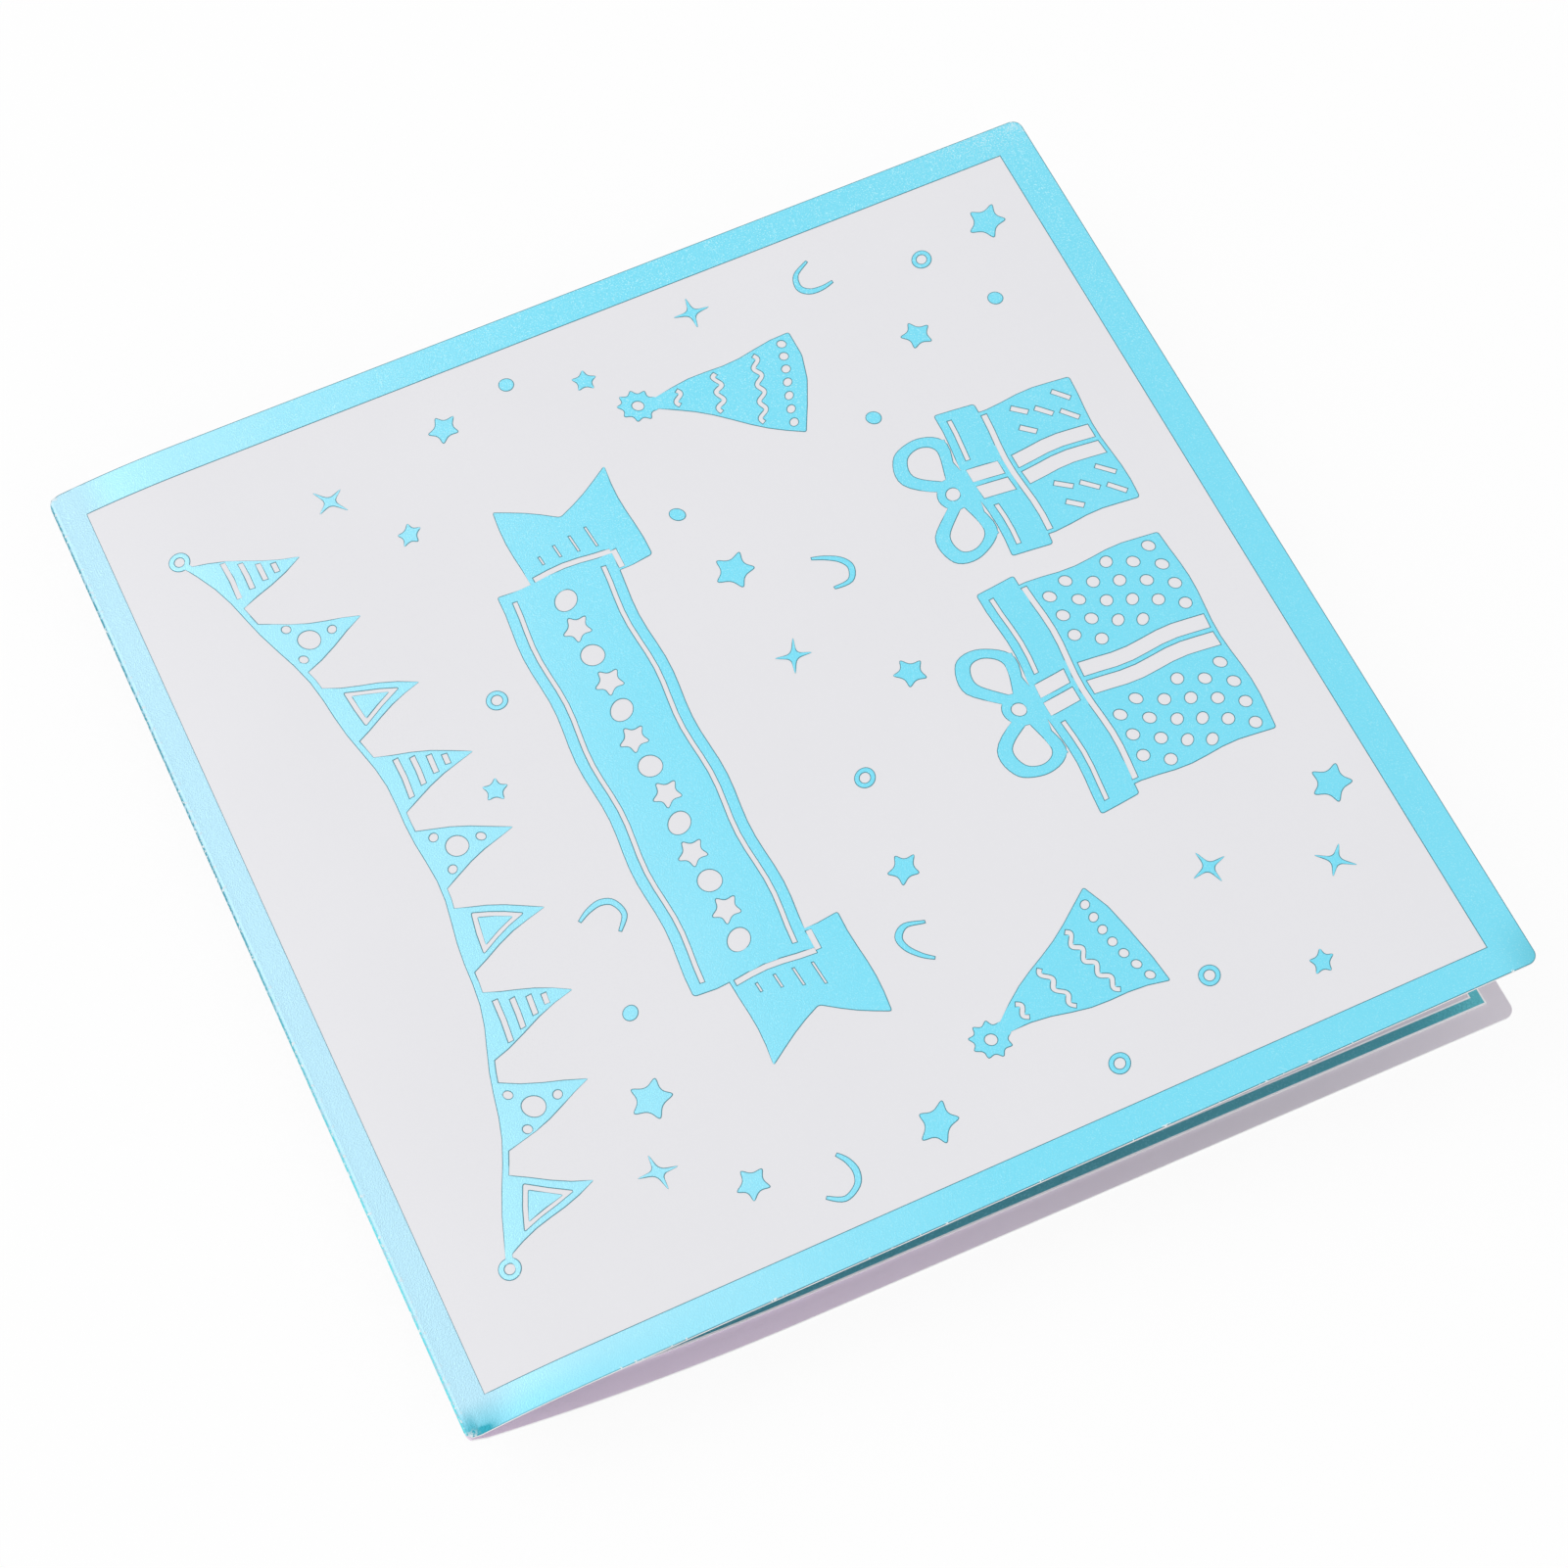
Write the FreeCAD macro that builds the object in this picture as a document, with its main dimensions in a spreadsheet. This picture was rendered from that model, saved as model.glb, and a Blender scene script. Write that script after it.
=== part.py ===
import FreeCAD, Part
import math
import os
import Sketcher
from FreeCAD import Placement, Rotation, Vector

# Folded greeting card with a pop-up stack of gift boxes inside. It lies on its back panel, sprung a
# little open by the paper folded within. The fold runs along Y at the -X side, the free edges are
# at +X, and the origin is at the centre of the footprint, on the surface that the card lies on.

DRIVING_SIZES = [
    ("card_length", 150, "Fold to free edge"),
    ("card_width", 150, "Along the fold"),
    ("cover_thickness", 0.4, "Board of the cover"),
    ("corner_radius", 1.5, "Rounded free corners of the cover"),
    ("trim_allowance", 2, "Board that the die cuts away past the edges"),
    ("liner_thickness", 0.2, "Inner sheet"),
    ("liner_inset", 2.9, "Margin of cover left bare around the liner"),
    ("foil_thickness", 0.05, "Hot-stamped foil"),
    ("fold_inner_radius", 0.15, "Inside of the liner's fold"),
    ("back_fold_angle", 18, "Slope of the back panel where it reaches the fold"),
    ("back_curl_radius", 150, "Curl of the back panel beside the fold"),
    ("front_fold_angle", 11, "Slope of the front panel where it leaves the fold"),
    ("front_free_angle", 2.4, "Slope of the flat part of the front panel"),
    ("front_curl_radius", 120, "Curl of the front panel beside the fold"),
    ("border_width", 4.7, "Foil border of the front"),
    ("print_shift_to_fold", 0.6, "Front print off the middle, towards the fold"),
    ("print_shift_to_near", 0.2, "Front print off the middle, towards the near edge"),
    ("frame_width", 1.8, "Foil frame along the liner's edges"),
    ("paper_thickness", 0.25, "Paper of the pop-up"),
    ("crease_land", 0.4, "Pressed part of each crease of the pop-up"),
    ("tier_1_reach", 55, "Half width of the lowest box, from the fold to its wall"),
    ("tier_1_height", 30, "Wall of the lowest box"),
    ("tier_1_depth", 96, "Lowest box along the fold"),
    ("tier_1_tab", 8, "Glue tab of the lowest box"),
    ("tier_2_reach", 38, "Half width of the middle box"),
    ("tier_2_height", 24, "Wall of the middle box"),
    ("tier_2_depth", 70, "Middle box along the fold"),
    ("tier_2_tab", 7, "Glue tab of the middle box"),
    ("tier_3_reach", 24, "Half width of the top box"),
    ("tier_3_height", 20, "Wall of the top box"),
    ("tier_3_depth", 44, "Top box along the fold"),
    ("tier_3_tab", 6, "Glue tab of the top box"),
    ("bow_width", 30, "Bow on the top box, along the fold"),
    ("bow_height", 22, "Bow on the top box, away from the fold"),
    ("bow_knot_width", 6, "Knot and stem of the bow"),
    ("bow_stem", 6, "Stem under the bow's loops"),
    ("bow_flare", 3, "Rise of the loops' lower edges"),
    ("bow_dip", 6, "Dip between the loops"),
    ("garland_half_span", 57, "Middle of the garland to either end"),
    ("garland_below_fold", 13, "Ends of the garland below the fold"),
    ("garland_sag", 13, "Drop of the garland's string in the middle"),
    ("garland_string", 0.8, "Width of the garland's string"),
    ("pennant_width", 10, "Top of each pennant"),
    ("pennant_drop", 12, "Length of each pennant"),
    ("pennant_dot", 1.5, "Radius of the bare dot in every other pennant"),
    ("pennant_dot_drop", 4, "That dot below the string"),
    ("banner_half_width", 33, "Field of the banner, to either side of the middle"),
    ("banner_height", 17, "Field of the banner"),
    ("banner_middle", 17, "Banner above the middle of the card"),
    ("banner_tail", 13, "Tails of the banner"),
    ("banner_tail_drop", 5, "Tails below the field"),
    ("banner_notch", 5, "Notch in each tail"),
    ("banner_gap", 0.8, "Bare line between the field and each tail"),
    ("banner_dot", 1.6, "Radius of the bare dots on the banner"),
    ("gift_width", 34, "Large gift box"),
    ("gift_height", 21, "Large gift box under its lid"),
    ("gift_above_edge", 14, "Foot of the gift boxes above the free edge"),
    ("gift_middle", -13, "Large gift box, sideways from the middle"),
    ("small_gift_width", 22, "Small gift box"),
    ("small_gift_height", 14, "Small gift box under its lid"),
    ("small_gift_middle", 21, "Small gift box, sideways from the middle"),
    ("lid_height", 6, "Lid of a gift box"),
    ("lid_overhang", 1.6, "Lid past the box, on either side"),
    ("ribbon_width", 5, "Bare ribbon of a gift box"),
    ("drawn_gap", 0.8, "Bare lines inside the drawings"),
    ("drawn_edge", 0.7, "Foil left at the ends of the bare lines"),
    ("loop_radius", 5, "Loops of a drawn bow"),
    ("loop_stroke", 1.5, "Stroke of those loops"),
    ("hat_width", 17, "Foot of a party hat"),
    ("hat_height", 23, "Party hat"),
    ("pompom_radius", 2.4, "Pompom of a party hat"),
    ("confetti_star", 2.6, "Radius of a confetti star"),
    ("confetti_dot", 1.1, "Radius of a confetti dot"),
]
PENNANT_COUNT = 9
BANNER_DOT_COUNT = 7
HAT_STRIPE_COUNT = 3
STAR_POINTS = 5
STAR_WAIST = 0.45

# Party hats: label, sideways and upward place as shares of the card, and tilt in degrees.
PARTY_HATS = [
    ("party_hat_foil_left", -0.345, -0.115, 14),
    ("party_hat_foil_right", 0.335, -0.105, -16),
]
# Confetti: sideways and upward places as shares of the card.
CONFETTI_STARS = [
    (-0.40, 0.20), (-0.29, 0.245), (0.315, 0.215), (0.41, 0.14), (-0.415, 0.035), (0.40, 0.0),
    (-0.185, -0.045), (0.155, -0.04), (-0.42, -0.33), (0.315, -0.30), (0.405, -0.42),
    (0.04, 0.245), (-0.01, -0.135), (-0.27, -0.42),
]
CONFETTI_DOTS = [
    (-0.355, 0.265), (-0.21, 0.225), (-0.43, 0.125), (0.12, 0.21), (0.38, 0.265), (0.43, 0.07),
    (-0.25, -0.02), (-0.09, -0.055), (0.05, -0.05), (0.23, -0.015), (0.115, -0.125),
    (-0.39, -0.235), (-0.30, -0.285), (0.25, -0.225), (0.415, -0.235), (0.39, -0.345),
    (-0.34, -0.39), (0.32, -0.385), (-0.115, 0.205), (-0.43, -0.13), (0.43, -0.12),
]


class Size:
    """A length or angle: its number, and the sheet expression that gives the same number."""

    def __init__(self, number, text):
        self.number = number
        self.text = text

    @staticmethod
    def of(value):
        return value if isinstance(value, Size) else Size(float(value), repr(float(value)))

    def __add__(self, other):
        other = Size.of(other)
        return Size(self.number + other.number, f"({self.text} + {other.text})")

    def __sub__(self, other):
        other = Size.of(other)
        return Size(self.number - other.number, f"({self.text} - {other.text})")

    def __mul__(self, other):
        other = Size.of(other)
        return Size(self.number * other.number, f"({self.text} * {other.text})")

    def __truediv__(self, other):
        other = Size.of(other)
        return Size(self.number / other.number, f"({self.text} / {other.text})")

    def __neg__(self):
        return Size(-self.number, f"(-1 * {self.text})")

    def __radd__(self, other):
        return Size.of(other) + self

    def __rsub__(self, other):
        return Size.of(other) - self

    def __rmul__(self, other):
        return Size.of(other) * self


def sine(angle):
    return Size(math.sin(math.radians(angle.number)), f"sin({angle.text})")


def cosine(angle):
    return Size(math.cos(math.radians(angle.number)), f"cos({angle.text})")


def tangent(angle):
    return Size(math.tan(math.radians(angle.number)), f"tan({angle.text})")


def fill_sheet():
    sheet = doc.addObject("Spreadsheet::Sheet", "Sizes")
    for row, (alias, value, note) in enumerate(DRIVING_SIZES, start=1):
        sheet.set(f"A{row}", note)
        sheet.set(f"B{row}", str(value))
        sheet.setAlias(f"B{row}", alias)
    doc.recompute()
    return sheet


def size(alias):
    return Size(float(sheet.get(alias)), f"Sizes.{alias}")


def bind(item, path, value):
    item.setExpression(path, Size.of(value).text)


def constrain(sketch, name, kind, *where, value=None):
    """Adds one constraint; with a value it gets a name and follows the sheet."""
    if value is None:
        sketch.addConstraint(Sketcher.Constraint(kind, *where))
        return
    number = math.radians(value.number) if kind == "Angle" else value.number
    index = sketch.addConstraint(Sketcher.Constraint(kind, *where, number))
    sketch.renameConstraint(index, name)
    bind(sketch, f"Constraints.{name}", value)


def pin_point(sketch, name, edge, end, place):
    across, upward = place
    constrain(sketch, f"{name}_across", "DistanceX", -1, 1, edge, end, value=Size.of(across))
    constrain(sketch, f"{name}_upward", "DistanceY", -1, 1, edge, end, value=Size.of(upward))


def polygon_sketch(name, corners, placement):
    """Closed outline of straight edges, each corner bound to the sheet."""
    sketch = doc.addObject("Sketcher::SketchObject", name)
    sketch.Placement = placement
    points = [Vector(Size.of(a).number, Size.of(b).number, 0) for a, b in corners]
    ends = points[1:] + points[:1]
    for start, end in zip(points, ends):
        sketch.addGeometry(Part.LineSegment(start, end))
    for edge, corner in enumerate(corners):
        following = (edge + 1) % len(corners)
        constrain(sketch, "", "Coincident", edge, 2, following, 1)
        pin_point(sketch, f"corner_{edge}", edge, 1, corner)
    return sketch


def extrusion(name, base, direction, length, symmetric):
    solid = doc.addObject("Part::Extrusion", name)
    solid.Base = base
    solid.DirMode = "Custom"
    solid.Dir = direction
    solid.Symmetric = symmetric
    solid.Solid = True
    bind(solid, "LengthFwd", length)
    return solid


def block(name, low, high):
    """Box between two corners that are bound to the sheet."""
    box = doc.addObject("Part::Box", name)
    for side, axis, near, far in zip(("Length", "Width", "Height"), "xyz", low, high):
        bind(box, f"Placement.Base.{axis}", near)
        bind(box, side, Size.of(far) - near)
    return box


def joined(name, kind, parts):
    result = doc.addObject(kind, name)
    result.Shapes = parts
    return result


def cut(name, base, tool):
    result = doc.addObject("Part::Cut", name)
    result.Base = base
    result.Tool = tool
    return result


def fold_geometry():
    """Centres of the arcs of the cover's outer face, seen from -Y, and where the panels run flat."""
    back_centre_up = size("back_curl_radius")
    nose_x = nose_radius - half_length
    nose_z = back_centre_up - (back_centre_up - nose_radius) * cosine(size("back_fold_angle"))
    back_x = nose_x + (back_centre_up - nose_radius) * sine(size("back_fold_angle"))
    front_arm = size("front_curl_radius") - nose_radius
    front_x = nose_x + front_arm * sine(size("front_fold_angle"))
    front_z = nose_z - front_arm * cosine(size("front_fold_angle"))
    return (nose_x, nose_z), back_x, (front_x, front_z)


def cover_path():
    """Outer face of the folded board as one open line: back panel, fold, front panel."""
    sketch = doc.addObject("Sketcher::SketchObject", "cover_path")
    sketch.Placement = SIDE_VIEW
    (nose_x, nose_z), back_x, (front_x, front_z) = fold_geometry()
    back_angle, fold_angle = size("back_fold_angle"), size("front_fold_angle")
    free_angle = size("front_free_angle")
    back_radius, front_radius = size("back_curl_radius"), size("front_curl_radius")
    over_x = half_length + size("trim_allowance")
    flat_x = front_x - front_radius * sine(free_angle)
    flat_z = front_z + front_radius * cosine(free_angle)
    over_z = flat_z + (over_x - flat_x) * tangent(free_angle)

    def arc(centre_x, centre_z, radius, first, last):
        circle = Part.Circle(Vector(centre_x.number, centre_z.number, 0), Vector(0, 0, 1), radius.number)
        return Part.ArcOfCircle(circle, math.radians(first), math.radians(last))

    sketch.addGeometry([
        Part.LineSegment(Vector(over_x.number, 0, 0), Vector(back_x.number, 0, 0)),
        arc(back_x, back_radius, back_radius, -90 - back_angle.number, -90),
        arc(nose_x, nose_z, nose_radius, 90 + fold_angle.number, 270 - back_angle.number),
        arc(front_x, front_z, front_radius, 90 + free_angle.number, 90 + fold_angle.number),
        Part.LineSegment(Vector(flat_x.number, flat_z.number, 0), Vector(over_x.number, over_z.number, 0)),
    ], False)
    back_flat, back_curl, nose, front_curl, front_flat = range(5)
    start, end, centre = 1, 2, 3
    constrain(sketch, "", "PointOnObject", back_flat, start, -1)
    constrain(sketch, "", "Horizontal", back_flat)
    constrain(sketch, "", "Tangent", back_flat, end, back_curl, end)
    constrain(sketch, "", "Tangent", back_curl, start, nose, end)
    constrain(sketch, "", "Tangent", nose, start, front_curl, end)
    constrain(sketch, "", "Tangent", front_curl, start, front_flat, start)
    constrain(sketch, "back_end", "DistanceX", -1, 1, back_flat, start, value=over_x)
    constrain(sketch, "front_end", "DistanceX", -1, 1, front_flat, end, value=over_x)
    constrain(sketch, "nose_place", "DistanceX", -1, 1, nose, centre, value=nose_x)
    constrain(sketch, "back_radius", "Radius", back_curl, value=back_radius)
    constrain(sketch, "nose_radius", "Radius", nose, value=nose_radius)
    constrain(sketch, "front_radius", "Radius", front_curl, value=front_radius)
    constrain(sketch, "back_turn", "Angle", back_curl, value=back_angle)
    constrain(sketch, "front_turn", "Angle", front_curl, value=fold_angle - free_angle)
    constrain(sketch, "front_slope", "Angle", front_flat, value=free_angle)
    return sketch


def beside(name, path, distance, filled):
    """The path moved sideways; filled, it is the section of the sheet between the two."""
    offset = doc.addObject("Part::Offset2D", name)
    offset.Source = path
    offset.Mode = "Skin"
    offset.Fill = filled
    bind(offset, "Value", distance)
    return offset


def along_fold(name, section):
    """Section carried along the fold, a little past both ends of the card."""
    length = size("card_width") + 2 * size("trim_allowance")
    return extrusion(name, section, Vector(0, 1, 0), length, True)


def card_die():
    """Upright prism of the card's outline: square at the fold, rounded at the free corners."""
    radius = size("corner_radius")
    inner_x, inner_y = half_length - radius, half_width - radius
    parts = [
        block("die_panel", (fold_side, -half_width, below), (inner_x, half_width, above)),
        block("die_edge", (inner_x, -inner_y, below), (half_length, inner_y, above)),
    ]
    for label, side in (("near", -1), ("far", 1)):
        corner = doc.addObject("Part::Cylinder", f"die_corner_{label}")
        bind(corner, "Radius", radius)
        bind(corner, "Height", above - below)
        bind(corner, "Placement.Base.x", inner_x)
        bind(corner, "Placement.Base.y", side * inner_y)
        bind(corner, "Placement.Base.z", below)
        parts.append(corner)
    return joined("card_die", "Part::MultiFuse", parts)


def cover():
    section = beside("cover_section", path, -size("cover_thickness"), True)
    return "cover", joined("cover_cut", "Part::MultiCommon", [along_fold("cover_blank", section), die])


def liner():
    outer = beside("liner_outer", path, -size("cover_thickness"), False)
    section = beside("liner_section", outer, -size("liner_thickness"), True)
    inset_x, inset_y = half_length - size("liner_inset"), half_width - size("liner_inset")
    outline = block("liner_die", (fold_side, -inset_y, below), (inset_x, inset_y, above))
    parts = [along_fold("liner_blank", section), outline]
    return "liner", joined("liner_cut", "Part::MultiCommon", parts)


def liner_frame():
    """Foil along the liner's three free sides, on through the fold."""
    inner = beside("frame_outer", path, -sheets_thickness, False)
    section = beside("frame_section", inner, -size("foil_thickness"), True)
    inset_x, inset_y = half_length - size("liner_inset"), half_width - size("liner_inset")
    window_x, window_y = inset_x - size("frame_width"), inset_y - size("frame_width")
    outline = block("frame_die", (fold_side, -inset_y, below), (inset_x, inset_y, above))
    window = block("frame_window", (fold_side, -window_y, below), (window_x, window_y, above))
    sheet_parts = [along_fold("frame_blank", section), outline]
    trimmed = joined("frame_trimmed", "Part::MultiCommon", sheet_parts)
    return "liner_frame_foil", cut("frame_cut", trimmed, window)


def front_foil():
    """The whole front panel's foil, from which the border and the drawings are stamped."""
    section = beside("foil_section", path, size("foil_thickness"), True)
    corner = (half_length + size("trim_allowance"), half_width + size("trim_allowance"), above)
    upper = block("foil_side", (fold_side, -corner[1], fold_height), corner)
    parts = [along_fold("foil_blank", section), die, upper]
    return joined("front_foil", "Part::MultiCommon", parts)


def border():
    inner_x, inner_y = half_length - size("border_width"), half_width - size("border_width")
    shift_x, shift_y = -size("print_shift_to_fold"), -size("print_shift_to_near")
    window = block(
        "border_window", (shift_x - inner_x, shift_y - inner_y, below),
        (shift_x + inner_x, shift_y + inner_y, above))
    return "border_foil", cut("border_cut", foil, window)


def drawn_polygon(name, corners):
    """Upright prism of a drawn shape; its corners are (sideways, upward), up being to the fold."""
    plan = [(-Size.of(upward), Size.of(sideways)) for sideways, upward in corners]
    placement = Placement(Vector(0, 0, 0), Rotation())
    sketch = polygon_sketch(f"{name}_outline", plan, placement)
    bind(sketch, "Placement.Base.z", fold_height)
    return extrusion(name, sketch, Vector(0, 0, 1), above - fold_height, False)


def drawn_rectangle(name, left, right, bottom, top):
    return drawn_polygon(name, [(left, bottom), (right, bottom), (right, top), (left, top)])


def drawn_disc(name, sideways, upward, radius):
    disc = doc.addObject("Part::Cylinder", name)
    bind(disc, "Radius", radius)
    bind(disc, "Height", above - fold_height)
    bind(disc, "Placement.Base.x", -Size.of(upward))
    bind(disc, "Placement.Base.y", sideways)
    bind(disc, "Placement.Base.z", fold_height)
    return disc


def stamped(label, filled, bare):
    """Foil left where the filled shapes are, less the bare ones inside them."""
    shape = joined(f"{label}_filled", "Part::MultiFuse", filled) if len(filled) > 1 else filled[0]
    if bare:
        gaps = joined(f"{label}_bare", "Part::MultiFuse", bare) if len(bare) > 1 else bare[0]
        shape = cut(f"{label}_shape", shape, gaps)
    return label, joined(f"{label}_cut", "Part::MultiCommon", [foil, shape])


def garland():
    """String that sags as a parabola, with pennants under it, as one outline."""
    half_span, top = size("garland_half_span"), half_length - size("garland_below_fold")
    sag, string = size("garland_sag"), size("garland_string")

    def string_top(sideways):
        share = sideways / half_span
        return sideways, top - sag * (1 - share * share)

    def string_foot(sideways):
        sideways, upward = string_top(sideways)
        return sideways, upward - string

    pitch, half_pennant = half_span * 2 / PENNANT_COUNT, size("pennant_width") / 2
    upper, lower, dots = [string_top(-half_span)], [string_foot(-half_span)], []
    for number in range(PENNANT_COUNT):
        middle = -half_span + pitch * (number + 0.5)
        left, right = middle - half_pennant, middle + half_pennant
        under = string_foot(middle)[1]
        upper += [string_top(left), string_top(middle), string_top(right)]
        lower += [string_foot(left), (middle, under - size("pennant_drop")), string_foot(right)]
        if number % 2:
            dot_height = under - size("pennant_dot_drop")
            dots.append(drawn_disc(f"pennant_dot_{number}", middle, dot_height, size("pennant_dot")))
    upper.append(string_top(half_span))
    lower.append(string_foot(half_span))
    return stamped("garland_foil", [drawn_polygon("garland", upper + lower[::-1])], dots)


def banner():
    """Swallow-tailed ribbon banner with a row of bare dots."""
    half, height, middle = size("banner_half_width"), size("banner_height"), size("banner_middle")
    tail, drop, notch = size("banner_tail"), size("banner_tail_drop"), size("banner_notch")
    gap = size("banner_gap")
    bottom, top = middle - height / 2, middle + height / 2
    filled = [drawn_rectangle("banner_field", -half, half, bottom, top)]
    bare = []
    for label, side in (("left", -1), ("right", 1)):
        inner, outer = side * (half - tail / 2), side * (half + tail)
        filled.append(drawn_polygon(f"banner_tail_{label}", [
            (inner, bottom - drop), (outer, bottom - drop), (outer - side * notch, middle - drop),
            (outer, top - drop), (inner, top - drop),
        ]))
        line_top = top - drop - size("drawn_edge")
        bare.append(drawn_rectangle(
            f"banner_line_{label}", side * half, side * (half + gap), bottom, line_top))
    for number in range(BANNER_DOT_COUNT):
        share = (2 * number + 1) / BANNER_DOT_COUNT - 1
        bare.append(drawn_disc(f"banner_dot_{number}", half * share, middle, size("banner_dot")))
    return stamped("banner_foil", filled, bare)


def gift(label, prefix):
    """Gift box with a lid, a bare ribbon and a bow of two round loops."""
    half = size(f"{prefix}_width") / 2
    height, centre = size(f"{prefix}_height"), size(f"{prefix}_middle")
    base = size("gift_above_edge") - half_length
    lid, overhang, ribbon = size("lid_height"), size("lid_overhang"), size("ribbon_width")
    gap, edge = size("drawn_gap"), size("drawn_edge")
    loop, stroke = size("loop_radius"), size("loop_stroke")
    box_top, lid_top = base + height, base + height + lid
    bow_height = lid_top + loop - stroke / 2
    filled = [
        drawn_rectangle(f"{label}_box", centre - half, centre + half, base, box_top),
        drawn_rectangle(
            f"{label}_lid", centre - half - overhang, centre + half + overhang, box_top, lid_top),
        drawn_disc(f"{label}_knot", centre, bow_height - loop / 2, loop / 2),
    ]
    bare = [drawn_rectangle(
        f"{label}_line", centre - half + edge, centre + half - edge, box_top - gap, box_top)]
    ribbon_runs = {"box": (base + edge, box_top - gap - edge), "lid": (box_top + edge, lid_top - edge)}
    for name, (low, high) in ribbon_runs.items():
        bare.append(drawn_rectangle(
            f"{label}_{name}_ribbon", centre - ribbon / 2, centre + ribbon / 2, low, high))
    for name, side in (("left", -1), ("right", 1)):
        place = centre + side * (loop + stroke / 2)
        filled.append(drawn_disc(f"{label}_loop_{name}", place, bow_height, loop))
        bare.append(drawn_disc(f"{label}_eye_{name}", place, bow_height, loop - stroke))
    return stamped(label, filled, bare)


def party_hat(label, across, upward, tilt):
    """Cone hat with a pompom and bare stripes across it."""
    centre, middle = size("card_width") * across, size("card_length") * upward
    width, height, gap = size("hat_width"), size("hat_height"), size("drawn_gap")
    lean = (math.sin(math.radians(tilt)), math.cos(math.radians(tilt)))

    def place(sideways, up):
        return (centre + sideways * lean[1] - up * lean[0], middle + sideways * lean[0] + up * lean[1])

    foot, peak = -height / 2, height / 2
    bare = []
    for number in range(HAT_STRIPE_COUNT):
        low_share = (number + 1) / (HAT_STRIPE_COUNT + 1)
        low = foot + height * low_share
        reach = width / 2 * (1 - low_share) - size("drawn_edge")
        stripe = [(-reach, low), (reach, low - gap * 2), (reach, low - gap), (-reach, low + gap)]
        bare.append(drawn_polygon(f"{label}_stripe_{number}", [place(*corner) for corner in stripe]))
    cone = [place(-width / 2, foot), place(width / 2, foot), place(0, peak)]
    filled = [
        drawn_polygon(f"{label}_cone", cone),
        drawn_disc(f"{label}_pompom", *place(0, peak), size("pompom_radius")),
    ]
    return stamped(label, filled, bare)


def confetti():
    pieces = []
    for number, (across, upward) in enumerate(CONFETTI_STARS):
        centre, middle = size("card_width") * across, size("card_length") * upward
        corners = []
        for corner in range(2 * STAR_POINTS):
            reach = size("confetti_star") * (STAR_WAIST if corner % 2 else 1)
            angle = math.radians(180 / STAR_POINTS * corner + 90)
            corners.append((centre + reach * math.cos(angle), middle + reach * math.sin(angle)))
        pieces.append(drawn_polygon(f"confetti_star_{number}", corners))
    for number, (across, upward) in enumerate(CONFETTI_DOTS):
        centre, middle = size("card_width") * across, size("card_length") * upward
        pieces.append(drawn_disc(f"confetti_dot_{number}", centre, middle, size("confetti_dot")))
    return stamped("confetti_foil", pieces, [])


def middle_line():
    """The line midway between the two flat panels inside: where it starts, and its slope."""
    _, _, (front_x, front_z) = fold_geometry()
    free_angle = size("front_free_angle")
    inner_radius = size("front_curl_radius") - sheets_thickness
    flat_x = front_x - inner_radius * sine(free_angle)
    flat_z = front_z + inner_radius * cosine(free_angle)
    meeting_x = flat_x - (flat_z - sheets_thickness) / tangent(free_angle)
    return meeting_x, free_angle / 2


def follow_middle_line(item, turn):
    meeting_x, slope = middle_line()
    base = f"vector({meeting_x.text}; 0; {sheets_thickness.text})"
    item.setExpression("Placement", f"placement({base}; rotation(vector(0; 1; 0); -1 * {slope.text}){turn})")


def tiers():
    """Boxes folded flat, each a tube of one strip: tabs and walls outside, the lid's halves inside.

    Distances run along the middle line and away from it. Each box stands on the one before.
    """
    meeting_x, slope = middle_line()
    thick, land = size("paper_thickness"), size("crease_land")
    fold_at = -half_length - meeting_x
    seat_slope, seat_start, stands_at = tangent(slope), Size.of(0), fold_at
    made = []
    for number in (1, 2, 3):
        reach, height = size(f"tier_{number}_reach"), size(f"tier_{number}_height")
        foot, crease = stands_at + reach, stands_at + height
        tab_end = foot - size(f"tier_{number}_tab")
        seat = (foot - seat_start) * seat_slope
        tab_seat = (tab_end - seat_start) * seat_slope
        end = foot + height
        half = [
            (tab_end, tab_seat - thick), (tab_end, tab_seat), (foot, seat), (end, seat),
            (end, seat - 2 * thick),
        ]
        inner_half = [(foot, seat - thick), (end - land, seat - thick), (crease, thick)]
        corners = half + [(crease + land, Size.of(0))] + mirrored(half)
        corners += flipped(inner_half) + inner_half[::-1]
        sketch = polygon_sketch(f"tier_{number}_section", corners, SIDE_VIEW)
        follow_middle_line(sketch, " * rotation(vector(1; 0; 0); 90)")
        depth = size(f"tier_{number}_depth")
        made.append((f"box_tier_{number}", extrusion(
            f"tier_{number}_strip", sketch, Vector(0, 1, 0), depth, True)))
        seat_slope = (seat - 2 * thick) / (end - land - crease)
        seat_start, stands_at = crease + land, crease
    return made, seat_start + thick / 2 / seat_slope


def flipped(corners):
    return [(along, -away) for along, away in corners]


def mirrored(corners):
    return flipped(corners)[::-1]


def bow(stands_at):
    """Flat bow, held between the halves of the top box's lid."""
    half, height, knot = size("bow_width") / 2, size("bow_height"), size("bow_knot_width") / 2
    low, high = stands_at + size("bow_stem"), stands_at + height
    side = [
        (stands_at, knot), (low, knot), (low + size("bow_flare"), half), (high, half),
        (high - size("bow_dip"), knot),
    ]
    sketch = polygon_sketch("bow_outline", side + mirrored(side), Placement())
    follow_middle_line(sketch, "")
    return "bow", extrusion("bow_sheet", sketch, bow_normal(), size("paper_thickness"), True)


def bow_normal():
    slope = math.radians(middle_line()[1].number)
    return Vector(-math.sin(slope), 0, math.cos(slope))


def check(items):
    for item in items:
        if {"Invalid", "Error"} & set(item.State):
            raise RuntimeError(f"{item.Name} failed: {item.State}")


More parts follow.
